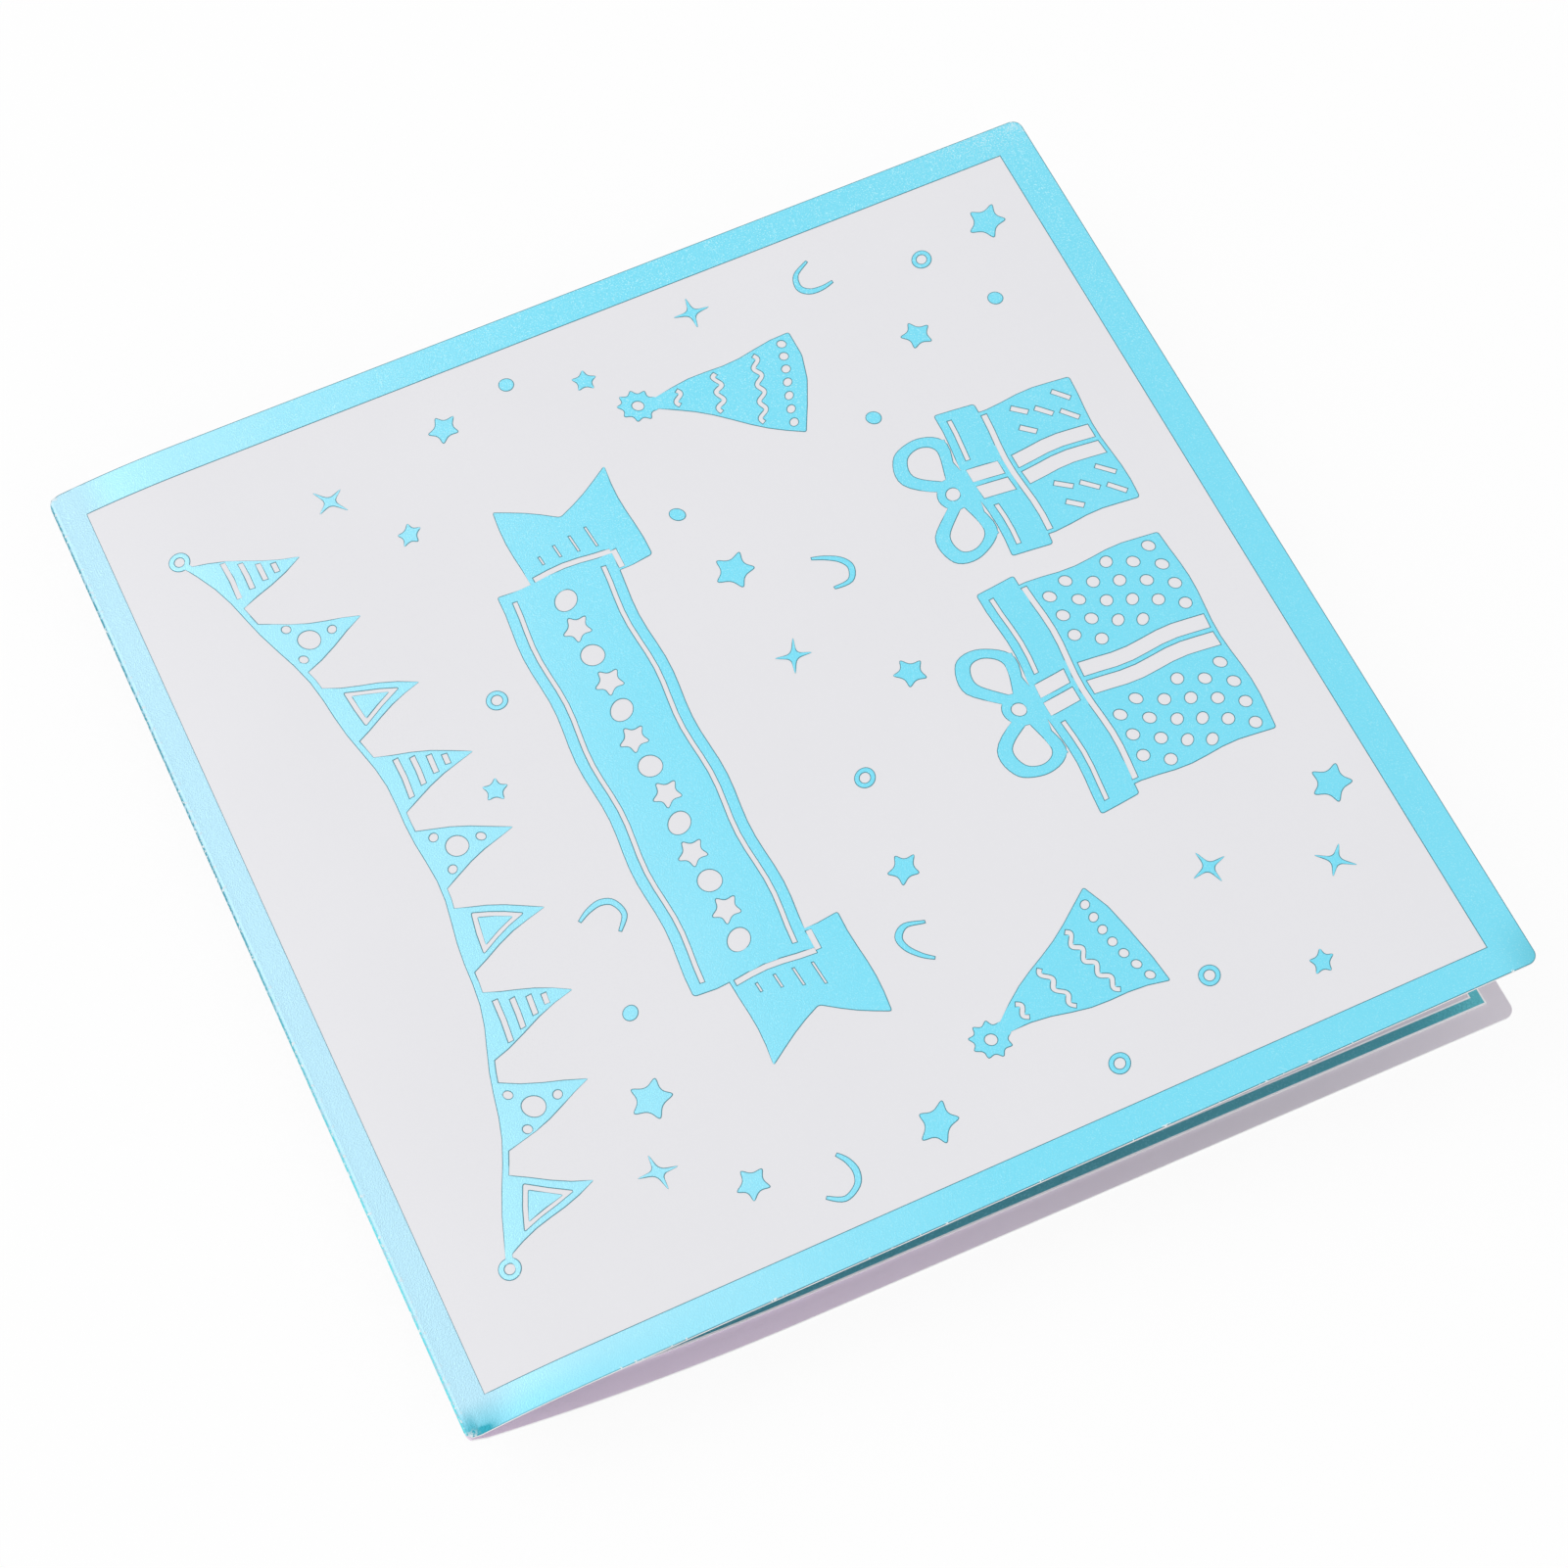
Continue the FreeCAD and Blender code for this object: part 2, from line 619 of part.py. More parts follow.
SIDE_VIEW = Placement(Vector(0, 0, 0), Rotation(Vector(1, 0, 0), 90))
doc = FreeCAD.newDocument("pop_up_card")
sheet = fill_sheet()

half_length, half_width = size("card_length") / 2, size("card_width") / 2
sheets_thickness = size("cover_thickness") + size("liner_thickness")
nose_radius = size("fold_inner_radius") + sheets_thickness
fold_height = fold_geometry()[0][1]
fold_side = -half_length - size("trim_allowance")
below = -size("trim_allowance")
above = fold_height + size("card_length") * tangent(size("front_fold_angle"))

path = cover_path()
die = card_die()
foil = front_foil()
tier_strips, bow_foot = tiers()
sub_parts = [cover(), liner(), border(), liner_frame(), garland(), banner()]
sub_parts += [gift("gift_foil_large", "gift"), gift("gift_foil_small", "small_gift")]
sub_parts += [party_hat(*hat) for hat in PARTY_HATS]
sub_parts += [confetti()] + tier_strips + [bow(bow_foot)]
for _, feature in sub_parts:
    if hasattr(feature, "Refine"):
        feature.Refine = True
doc.recompute()
check(doc.Objects)

os.makedirs("parts", exist_ok=True)
for label, node in sub_parts:
    node.Label = label
    if node.Shape.isNull() or not node.Shape.isValid() or not node.Shape.Solids:
        raise RuntimeError(f"{node.Label} has no valid solid")
    node.Shape.exportStep(f"parts/{node.Label}.step")
    box = node.Shape.BoundBox
    print(f"{node.Label}: {len(node.Shape.Solids)} solid(s), {node.Shape.Volume:.2f} mm3, "
          f"x {box.XMin:.2f}..{box.XMax:.2f}, y {box.YMin:.2f}..{box.YMax:.2f}, "
          f"z {box.ZMin:.2f}..{box.ZMax:.2f}")
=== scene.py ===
# %% [markdown]
# A square greeting card with a foil-stamped front lies on its back panel, sprung a little open by
# the pop-up folded inside it. This lesson dresses the card's measured solids. It could be
# painted with pictures on two flat panels, but real card gets its look from thickness: cut edges,
# a rolled fold and foil with a pressed rim. So each sheet is made as a sheet, and each stamping
# is cut from a sheet of foil by a die, as in the print shop.

import math

import bmesh
import bpy
from mathutils import Matrix, Vector


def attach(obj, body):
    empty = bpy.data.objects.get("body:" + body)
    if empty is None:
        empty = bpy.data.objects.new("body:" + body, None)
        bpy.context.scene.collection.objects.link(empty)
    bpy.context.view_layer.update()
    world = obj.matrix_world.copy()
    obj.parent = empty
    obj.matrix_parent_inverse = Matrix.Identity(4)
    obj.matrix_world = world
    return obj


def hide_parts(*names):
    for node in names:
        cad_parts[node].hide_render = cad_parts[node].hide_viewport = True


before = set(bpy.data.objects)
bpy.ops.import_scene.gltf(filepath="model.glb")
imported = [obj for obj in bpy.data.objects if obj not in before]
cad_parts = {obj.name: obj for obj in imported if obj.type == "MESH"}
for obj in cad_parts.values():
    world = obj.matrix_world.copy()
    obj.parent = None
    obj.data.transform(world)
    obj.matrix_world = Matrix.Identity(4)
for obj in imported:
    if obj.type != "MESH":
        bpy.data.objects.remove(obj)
bpy.context.view_layer.update()
MM = 0.001
print("measured solids:", sorted(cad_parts))

# %% [markdown]
# The photograph was taken from above, with the fold at the left. Its camera was found by fitting
# the card's edges: a long lens, a little over half a metre away. A camera could be aimed by hand,
# but a fitted one lets every edge be compared with the photograph, so it comes first.

# %% Camera
IMAGE_SIDE = 1601
FOCAL_PIXELS = 3995.5
SENSOR_WIDTH = 36
AZIMUTH, ELEVATION, ROLL = (math.radians(angle) for angle in (-27.78, 60.80, 3.11))
AIM = Vector((1.31, -3.34, 0)) * MM
DISTANCE = 533.3 * MM

towards_camera = Vector((
    math.sin(AZIMUTH) * math.cos(ELEVATION), -math.cos(AZIMUTH) * math.cos(ELEVATION),
    math.sin(ELEVATION)))
horizon = Vector((math.cos(AZIMUTH), math.sin(AZIMUTH), 0))
upright = towards_camera.cross(horizon)
right = horizon * math.cos(ROLL) + upright * math.sin(ROLL)
up = upright * math.cos(ROLL) - horizon * math.sin(ROLL)
turn = Matrix((right, up, towards_camera)).transposed()
bpy.ops.object.camera_add(location=AIM + towards_camera * DISTANCE, rotation=turn.to_euler())
camera = bpy.context.object
camera.name = "camera"
camera.data.sensor_width = SENSOR_WIDTH
camera.data.lens = FOCAL_PIXELS / IMAGE_SIDE * SENSOR_WIDTH
bpy.context.scene.camera = camera
print("lens in mm:", round(camera.data.lens, 1))

# %% [markdown]
# Modelling by hand means picking faces, edges or corners and using tools on them. A script has
# no mouse, so it picks by place or by direction. Two helpers do that here: one opens a piece for
# editing, and one picks all parts that pass a test. Two more apply a modifier and smooth a piece.

# %% Helpers for picking and editing


def open_for_edit(piece):
    bpy.ops.object.select_all(action="DESELECT")
    bpy.context.view_layer.objects.active = piece
    piece.select_set(True)
    bpy.ops.object.mode_set(mode="EDIT")


def close_edit():
    bpy.ops.object.mode_set(mode="OBJECT")


def pick(kind, test):
    """Selects each corner, edge or face that passes; the test gets it and its middle."""
    bpy.ops.mesh.select_mode(type=kind)
    bpy.ops.mesh.select_all(action="DESELECT")
    mesh = bmesh.from_edit_mesh(bpy.context.object.data)
    parts = {"VERT": mesh.verts, "EDGE": mesh.edges, "FACE": mesh.faces}[kind]
    for part in parts:
        corners = [part] if kind == "VERT" else part.verts
        middle = sum((corner.co for corner in corners), Vector()) / len(corners)
        part.select_set(bool(test(part, middle)))
    mesh.select_flush_mode()
    bmesh.update_edit_mesh(bpy.context.object.data)


def apply_modifier(piece, kind, **settings):
    bpy.context.view_layer.objects.active = piece
    modifier = piece.modifiers.new(kind.lower(), kind)
    for setting, value in settings.items():
        setattr(modifier, setting, value)
    bpy.ops.object.modifier_apply(modifier=modifier.name)


def smooth(piece, degrees):
    bpy.ops.object.select_all(action="DESELECT")
    bpy.context.view_layer.objects.active = piece
    piece.select_set(True)
    bpy.ops.object.shade_smooth_by_angle(angle=math.radians(degrees))


# %% [markdown]
# Paper doesn't fold to a sharp line. Each panel curls near the crease, and the crease itself is a
# tight roll as wide as the board is thick. Seen from the side, the outer face is one line of five
# runs: back panel, its curl, the roll, the front panel's curl and the front panel. Each curl is
# an arc, so the sheet starts as a flat plane and its last edge is spun round three centres.
# Sheets inside the cover share the centres, with smaller radii, and so they nest.

# %% Sizes of the fold
HALF = 75 * MM
COVER, LINER, FOIL = 0.4 * MM, 0.2 * MM, 0.05 * MM
BACK_TURN, FRONT_TURN, FREE_TURN = (math.radians(angle) for angle in (18, 11, 2.4))
BACK_CURL, FRONT_CURL, ROLL_RADIUS = 150 * MM, 120 * MM, 0.75 * MM
BACK_STEPS, ROLL_STEPS, FRONT_STEPS = 24, 30, 16

roll_centre = Vector((
    ROLL_RADIUS - HALF, 0, BACK_CURL - (BACK_CURL - ROLL_RADIUS) * math.cos(BACK_TURN)))
back_centre = Vector((roll_centre.x + (BACK_CURL - ROLL_RADIUS) * math.sin(BACK_TURN), 0, BACK_CURL))
front_arm = FRONT_CURL - ROLL_RADIUS
front_centre = roll_centre + Vector((
    front_arm * math.sin(FRONT_TURN), 0, -front_arm * math.cos(FRONT_TURN)))
flat_start = front_centre.x - FRONT_CURL * math.sin(FREE_TURN)
print("fold height in mm:", round(roll_centre.z / MM, 2))
print("the front runs flat from, in mm:", round(flat_start / MM, 2))

# %% [markdown]
# Handling blunts the two ends of a fold before anything else. A bevel there would have to run
# round the roll, so it is simpler to draw the roll's end corners in, along a small circle.

# %% Blunt the ends of the fold
BLUNT = 1.3 * MM


def blunt_fold_ends(sheet, half_width):
    """Draws in both ends of the roll; the sheet is in edit mode."""
    mesh = bmesh.from_edit_mesh(sheet.data)
    for corner in mesh.verts:
        lost = BLUNT - (corner.co.x + HALF)
        if lost > 0 and abs(corner.co.y) > half_width - BLUNT:
            reach = half_width - BLUNT + math.sqrt(max(BLUNT ** 2 - lost ** 2, 0.0))
            corner.co.y = math.copysign(min(abs(corner.co.y), reach), corner.co.y)
    bmesh.update_edit_mesh(sheet.data)


# %% Make a folded sheet
PICK_REACH, MERGE_REACH = 0.1 * MM, 0.0005 * MM
SURELY_FRONT = 2 * MM
CORNER_STEPS = 8


def folded_sheet(name, depth, thickness, half_width, free_x, corner_radius=0.0, whole=True):
    """Sheet whose outer face lies this deep under the cover's; not whole, it has the front only."""
    bpy.ops.object.select_all(action="DESELECT")
    bpy.ops.mesh.primitive_plane_add(size=1, location=((back_centre.x + free_x) / 2, 0, depth))
    sheet = bpy.context.object
    sheet.name = name
    bpy.ops.transform.resize(value=(free_x - back_centre.x, 2 * half_width, 1))
    bpy.ops.object.transform_apply(location=True, rotation=True, scale=True)
    open_for_edit(sheet)
    pick("EDGE", lambda edge, middle: middle.x < back_centre.x + PICK_REACH)
    runs = [
        (back_centre, BACK_TURN, BACK_STEPS),
        (roll_centre, math.pi - BACK_TURN - FRONT_TURN, ROLL_STEPS),
        (front_centre, FRONT_TURN - FREE_TURN, FRONT_STEPS),
    ]
    for centre, angle, steps in runs:
        bpy.ops.mesh.spin(steps=steps, angle=-angle, center=centre, axis=(0, 1, 0))
    last = front_centre.x - (FRONT_CURL - depth) * math.sin(FREE_TURN)
    run = free_x - last
    bpy.ops.mesh.extrude_region_move(
        TRANSFORM_OT_translate={"value": (run, 0, run * math.tan(FREE_TURN))})
    bpy.ops.mesh.select_all(action="SELECT")
    bpy.ops.mesh.remove_doubles(threshold=MERGE_REACH)
    bpy.ops.mesh.normals_make_consistent(inside=False)
    if not whole:
        pick("FACE", lambda face, middle: middle.z < roll_centre.z)
        bpy.ops.mesh.delete(type="FACE")
    if corner_radius:
        pick("VERT", lambda corner, place: place.x > free_x - PICK_REACH)
        bpy.ops.mesh.bevel(offset=corner_radius, segments=CORNER_STEPS, affect="VERTICES")
        blunt_fold_ends(sheet, half_width)
    pick("FACE", lambda face, middle: middle.z > roll_centre.z + SURELY_FRONT)
    mesh = bmesh.from_edit_mesh(sheet.data)
    if next(face for face in mesh.faces if face.select).normal.z < 0:
        bpy.ops.mesh.select_all(action="SELECT")
        bpy.ops.mesh.flip_normals()
    close_edit()
    apply_modifier(sheet, "SOLIDIFY", thickness=thickness, offset=-1, use_even_offset=True)
    return sheet


# %% [markdown]
# The cover is thick smooth board. Its free corners are rounded, and its cut edges show a pale
# line all round. A plain sheet's edges are sharper than a guillotine can cut them, so a small
# bevel softens them and catches the light. The inner sheet is the same fold in thinner paper.

# %% Cover and liner
CORNER_RADIUS = 1.5 * MM
LINER_INSET = 2.9 * MM
EDGE_BEVEL = 0.05 * MM
CUT_ANGLE, SMOOTH_ANGLE = 60, 35


def soften_cut_edges(sheet, width):
    """Bevels the cut edges; weighted normals then keep the wide faces flat up to the bevel."""
    apply_modifier(
        sheet, "BEVEL", width=width, segments=2, limit_method="ANGLE", angle_limit=math.radians(CUT_ANGLE))
    smooth(sheet, SMOOTH_ANGLE)
    apply_modifier(sheet, "WEIGHTED_NORMAL", keep_sharp=True, weight=100)


cover = folded_sheet("cover_board_sheet", 0, COVER, HALF, HALF, CORNER_RADIUS)
soften_cut_edges(cover, EDGE_BEVEL)
liner = folded_sheet("liner_sheet", COVER, LINER, HALF - LINER_INSET, HALF - LINER_INSET)
soften_cut_edges(liner, EDGE_BEVEL / 2)
print("cover faces:", len(cover.data.polygons), " liner faces:", len(liner.data.polygons))

# %% [markdown]
# Hot stamping presses a heated metal die through a roll of foil. Foil stays on the board only
# where the die touched it, and the board sinks a little there, so every stamped shape has a fine
# rolled rim. A painted mask would give the shapes but no rim. Here the foil is a thin sheet that
# follows the front panel, a die is an upright block with the shape's outline, and a boolean keeps
# what they share. The drawings were made by hand, so two slow waves warp their outlines a little.

# %% Dies from outlines
DIE_FOOT, DIE_HEIGHT = 6 * MM, 14 * MM
WOBBLE, WOBBLE_START, DRAWN_STEP = 0.3, 1, 2.5
WOBBLE_LENGTH = 14
CROSS_WOBBLE_LENGTH = 1.3 * WOBBLE_LENGTH


def hand_drawn(outline):
    """Cuts long sides into steps and warps them a little, since no drawn line is quite straight."""
    drawn = []
    for start, end in zip(outline, outline[1:] + outline[:1]):
        steps = max(1, round(math.dist(start, end) / DRAWN_STEP))
        for number in range(steps):
            sideways, upward = (a + (b - a) * number / steps for a, b in zip(start, end))
            drawn.append((
                sideways + WOBBLE * math.sin(2 * math.pi * upward / WOBBLE_LENGTH + WOBBLE_START),
                upward + WOBBLE * math.sin(2 * math.pi * sideways / CROSS_WOBBLE_LENGTH)))
    return drawn


def die(outline):
    """Upright block; its corners are (sideways, upward) in mm on the front, up being to the fold."""
    bpy.ops.object.select_all(action="DESELECT")
    bpy.ops.mesh.primitive_circle_add(vertices=len(outline), radius=1, fill_type="NGON")
    block = bpy.context.object
    for corner, (sideways, upward) in zip(block.data.vertices, outline):
        corner.co = Vector((-upward * MM, sideways * MM, DIE_FOOT))
    bpy.ops.object.mode_set(mode="EDIT")
    bpy.ops.mesh.select_all(action="SELECT")
    bpy.ops.mesh.extrude_region_move(TRANSFORM_OT_translate={"value": (0, 0, DIE_HEIGHT)})
    bpy.ops.mesh.select_all(action="SELECT")
    bpy.ops.mesh.normals_make_consistent(inside=False)
    close_edit()
    return block


def joined(blocks):
    if len(blocks) == 1:
        return blocks[0]
    bpy.ops.object.select_all(action="DESELECT")
    for block in blocks:
        block.select_set(True)
    bpy.context.view_layer.objects.active = blocks[0]
    bpy.ops.object.join()
    return bpy.context.object


# %% [markdown]
# An inset lifts all but a narrow rim of the stamped face, and marks the rim for the material. In
# narrow tips an inset runs past itself, and small faces turn over and show as dark streaks. They
# could be hidden with a thinner rim, but then the rim is too fine to see. So a helper looks for
# faces that no longer look up, and draws their corners back over the rim's outer edge.

# %% Press the rim
RIM_WIDTH, RIM_RISE = 0.18 * MM, 0.03 * MM
UNTANGLE_PASSES = 12
LEAST_UPWARD = 0.5


def untangle(mesh):
    """Where the inset has turned a face over, draws its corners back above the rim's outer edge."""
    lifted = {corner for face in mesh.faces if face.select for corner in face.verts}
    outer = {}
    for corner in lifted:
        for edge in corner.link_edges:
            if edge.other_vert(corner) not in lifted:
                outer[corner] = edge.other_vert(corner).co + Vector((0, 0, RIM_RISE))
                if (corner.co - outer[corner]).length > 2 * RIM_WIDTH:
                    corner.co = outer[corner] + (corner.co - outer[corner]).normalized() * 2 * RIM_WIDTH
    for _ in range(UNTANGLE_PASSES):
        mesh.normal_update()
        tangled = set()
        for face in mesh.faces:
            raised = [corner for corner in face.verts if corner in lifted]
            limit = LEAST_UPWARD if len(raised) == len(face.verts) else 0
            if raised and face.normal.z < limit:
                tangled.update(raised)
        for corner in tangled & outer.keys():
            corner.co = (corner.co + outer[corner]) / 2
    return len(tangled)


def press_rim(foil):
    """Lifts the foil's face off a narrow rim, and marks the rim with the attribute 'rim'."""
    open_for_edit(foil)
    pick("FACE", lambda face, middle: face.normal.z > LEAST_UPWARD)
    bpy.ops.mesh.quads_convert_to_tris(ngon_method="BEAUTY")
    bpy.ops.mesh.inset(thickness=RIM_WIDTH, depth=RIM_RISE, use_even_offset=True, use_boundary=True)
    mesh = bmesh.from_edit_mesh(foil.data)
    tangled = untangle(mesh)
    bmesh.update_edit_mesh(foil.data)
    lifted = {corner.index for face in mesh.faces if face.select for corner in face.verts}
    close_edit()
    rim = foil.data.attributes.new("rim", "FLOAT", "POINT")
    on_rim = [0.0 if index in lifted else 1.0 for index in range(len(foil.data.vertices))]
    rim.data.foreach_set("value", on_rim)
    print("  corners still tangled:", tangled)


# %% [markdown]
# One stamping takes three cuts. The filled outlines keep foil, the bare ones clear it again, and
# islands are foil that stays inside a bare part. A boolean can't keep an island of what it has
# just taken away, so the islands are cut from a second copy of the sheet, and both are joined.

# %% Stamp a shape from the foil
STAMP_SMOOTH_ANGLE = 8


def cut_with(piece, operation, outlines, by_hand):
    if outlines:
        blocks = joined([die(hand_drawn(outline) if by_hand else outline) for outline in outlines])
        apply_modifier(
            piece, "BOOLEAN", operation=operation, object=blocks, solver="EXACT", use_self=True)
        bpy.data.objects.remove(blocks)


def stamp(name, node, filled, bare=(), islands=(), by_hand=True):
    """Foil where the filled outlines are, less the bare ones; islands of foil stay inside those."""
    foil = foil_sheet.copy()
    foil.data = foil_sheet.data.copy()
    foil.name = name
    bpy.context.collection.objects.link(foil)
    cut_with(foil, "INTERSECT", filled, by_hand)
    if islands:
        again = foil.copy()
        again.data = foil.data.copy()
        bpy.context.collection.objects.link(again)
        cut_with(again, "INTERSECT", islands, by_hand)
    cut_with(foil, "DIFFERENCE", bare, by_hand)
    if islands:
        foil = joined([foil, again])
    press_rim(foil)
    smooth(foil, STAMP_SMOOTH_ANGLE)
    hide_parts(node)
    print(name, "faces:", len(foil.data.polygons))
    return foil


# %% Foil sheet over the front
foil_sheet = folded_sheet(
    "foil_sheet", -FOIL + RIM_RISE, FOIL - RIM_RISE, HALF, HALF, CORNER_RADIUS, whole=False)
print("foil sheet faces:", len(foil_sheet.data.polygons))

# %% [markdown]
# The widest stamping is the border. It runs out to the cut edges and over the fold, and its
# window is a rectangle a little nearer the fold than the middle, as the guillotine left it. Its
# sides are ruled and not drawn by hand, so they are kept from the warp.

# %% Border
WINDOW = {"fold": 70.9, "free": -69.7, "near": -70.5, "far": 70.1}
PAST_THE_CARD = 80


def rectangle(left, right, bottom, top):
    return [(left, bottom), (right, bottom), (right, top), (left, top)]


whole_front = rectangle(-PAST_THE_CARD, PAST_THE_CARD, -PAST_THE_CARD, PAST_THE_CARD)
window = rectangle(WINDOW["near"], WINDOW["far"], WINDOW["free"], WINDOW["fold"])
border = stamp("border_stamping", "border_foil", [whole_front], [window], by_hand=False)

# %% [markdown]
# The drawings are festive and plain: a garland, a ribbon banner, two gift boxes, party hats and
# confetti. Each outline is a list of corners, worked out from a few sizes. Small functions give
# the outlines that come back again and again: a disc, a star, and a brush stroke along a path.
# Dies are cut with a small round tool, so no corner of a real stamping is quite sharp.

# %% Outlines that repeat
SMALL_DISC = 14
MOST_OF_A_SIDE = 0.4
SOFT_CORNER, FINE_CORNER, STAR_CORNER = 0.5, 0.3, 0.26


def disc(sideways, upward, radius, corners=28):
    angles = [2 * math.pi * number / corners for number in range(corners)]
    return [(sideways + radius * math.cos(angle), upward + radius * math.sin(angle)) for angle in angles]


def rounded(corners, reach):
    """Cuts each corner back by this reach at most, and bulges the cut out again."""
    soft = []
    for before, corner, after in zip([corners[-1]] + corners[:-1], corners, corners[1:] + [corners[0]]):
        cuts = []
        for other in (before, after):
            share = min(reach / math.dist(corner, other), MOST_OF_A_SIDE)
            cuts.append([c + (o - c) * share for c, o in zip(corner, other)])
        for way in (0, 0.25, 0.5, 0.75, 1):
            soft.append(tuple(
                (1 - way) ** 2 * first + 2 * way * (1 - way) * c + way ** 2 * second
                for first, c, second in zip(cuts[0], corner, cuts[1])))
    return soft


def star(sideways, upward, radius, points=5, waist=0.5, turned=0.0):
    corners = []
    for number in range(2 * points):
        reach = radius * (waist if number % 2 else 1)
        angle = math.pi / points * number + math.pi / 2 + math.radians(turned)
        corners.append((sideways + reach * math.cos(angle), upward + reach * math.sin(angle)))
    return rounded(corners, radius * STAR_CORNER)


def smooth_path(points, steps=8):
    """Path that passes smoothly through the points."""
    ends = [points[0]] + list(points) + [points[-1]]
    path = []
    for before, start, end, after in zip(ends, ends[1:], ends[2:], ends[3:]):
        for number in range(steps):
            share = number / steps
            path.append(tuple(
                0.5 * (2 * b + (c - a) * share + (2 * a - 5 * b + 4 * c - d) * share ** 2
                       + (3 * b - a - 3 * c + d) * share ** 3)
                for a, b, c, d in zip(before, start, end, after)))
    return path + [points[-1]]


def stroke(path, width, tapered=False):
    """Outline of a brush stroke along the path; tapered, it thins towards both ends."""
    left, right = [], []
    last = len(path) - 1
    for number, (sideways, upward) in enumerate(path):
        (from_s, from_u), (to_s, to_u) = path[max(number - 1, 0)], path[min(number + 1, last)]
        length = math.hypot(to_s - from_s, to_u - from_u)
        swell = 0.5 + 0.5 * math.sin(math.pi * number / last) if tapered else 1
        across = width / 2 * swell / length
        left.append((sideways - (to_u - from_u) * across, upward + (to_s - from_s) * across))
        right.append((sideways + (to_u - from_u) * across, upward - (to_s - from_s) * across))
    return left + right[::-1]


# %% [markdown]
# The garland hangs near the fold. Its string sags as a parabola, and its nine pennants take
# turns with three patterns, left bare in the foil: an inner line, dots and stripes. The inner
# line is a bare triangle with an island of foil in it.

# %% Garland
HALF_SPAN, GARLAND_TOP, SAG, PENNANTS = 57, 62, 13, 9
PENNANT_WIDTH, PENNANT_DROP = 10, 12
STRING_WIDTH, STRING_HALF_STEPS = 0.9, 18
KNOB, KNOB_EYE = 1.5, 0.7
LINE_DROP, LINE_RISE = 4.6, 3.6
BARE_SHARE, ISLAND_SHARE, WIDEST_SHARE, TIP_SHARE = 0.60, 0.42, 0.8, 0.5
PENNANT_DOTS = ((0, 4.2, 1.5, 28), (-2.7, 2.1, 0.6, 14), (2.7, 2.1, 0.6, 14), (0, 7.6, 0.6, 14))
PENNANT_STRIPES = ((2.2, 3.1), (4.3, 2.2), (6.4, 1.4), (8.3, 0.75))
STRIPE_HALF = 0.35


def string_at(sideways):
    return sideways, GARLAND_TOP - SAG * (1 - (sideways / HALF_SPAN) ** 2)


def inner_triangle(middle, top, slope, share):
    """Triangle inside a pennant, whose upper side follows the string's slope."""
    half = PENNANT_WIDTH / 2
    tip = top - LINE_DROP - PENNANT_DROP * TIP_SHARE * share / WIDEST_SHARE
    return rounded([
        (middle - half * share, top - LINE_DROP + LINE_RISE * share - half * share * slope),
        (middle, tip),
        (middle + half * share, top - LINE_DROP + LINE_RISE * share + half * share * slope)], FINE_CORNER)


string = [
    string_at(-HALF_SPAN + HALF_SPAN * number / STRING_HALF_STEPS)
    for number in range(2 * STRING_HALF_STEPS + 1)
]
filled = [stroke(string, STRING_WIDTH)] + [disc(side * HALF_SPAN, GARLAND_TOP, KNOB) for side in (-1, 1)]
bare, islands = [disc(side * HALF_SPAN, GARLAND_TOP, KNOB_EYE, SMALL_DISC) for side in (-1, 1)], []
for number in range(PENNANTS):
    middle = 2 * HALF_SPAN / PENNANTS * (number + 0.5) - HALF_SPAN
    left, right = string_at(middle - PENNANT_WIDTH / 2), string_at(middle + PENNANT_WIDTH / 2)
    top = string_at(middle)[1]
    filled.append(rounded([left, (middle, top - PENNANT_DROP), right, (middle, top)], FINE_CORNER))
    pattern = number % 3
    if pattern == 0:
        slope = (right[1] - left[1]) / PENNANT_WIDTH
        bare.append(inner_triangle(middle, top, slope, BARE_SHARE))
        islands.append(inner_triangle(middle, top, slope, ISLAND_SHARE))
    elif pattern == 1:
        for shift, drop, radius, corners in PENNANT_DOTS:
            bare.append(disc(middle + shift, top - drop, radius, corners))
    else:
        for drop, reach in PENNANT_STRIPES:
            bare.append(rectangle(
                middle - reach, middle + reach, top - drop - STRIPE_HALF, top - drop + STRIPE_HALF))
garland = stamp("garland_stamping", "garland_foil", filled, bare, islands)

# %% [markdown]
# A swallow-tailed ribbon takes the place in the middle, with a row of dots and small stars along
# it. Short strokes beside the folds tell the eye that the tails pass behind.

# %% Banner
BANNER_HALF, BANNER_HEIGHT, BANNER_MIDDLE = 33, 17, 17
TAIL, TAIL_DROP, NOTCH, TAIL_OVERLAP = 13, 5, 5, 3
TRIM_INSET, TRIM_END, TRIM_HALF = 1.9, 1.6, 0.3
FOLD_HALF, FOLD_START, FOLD_END = 0.4, 2.6, 0.7
HATCHES, HATCH_WIDTH, HATCH_INSET = 4, 0.5, 1.9
HATCH_FOOT, HATCH_STEP = 1.2, 2.6
HATCH_LENGTH, HATCH_LOSS = 3.4, 0.7
BANNER_DOTS, BANNER_DOT, BANNER_STAR = 7, 1.6, 2.3

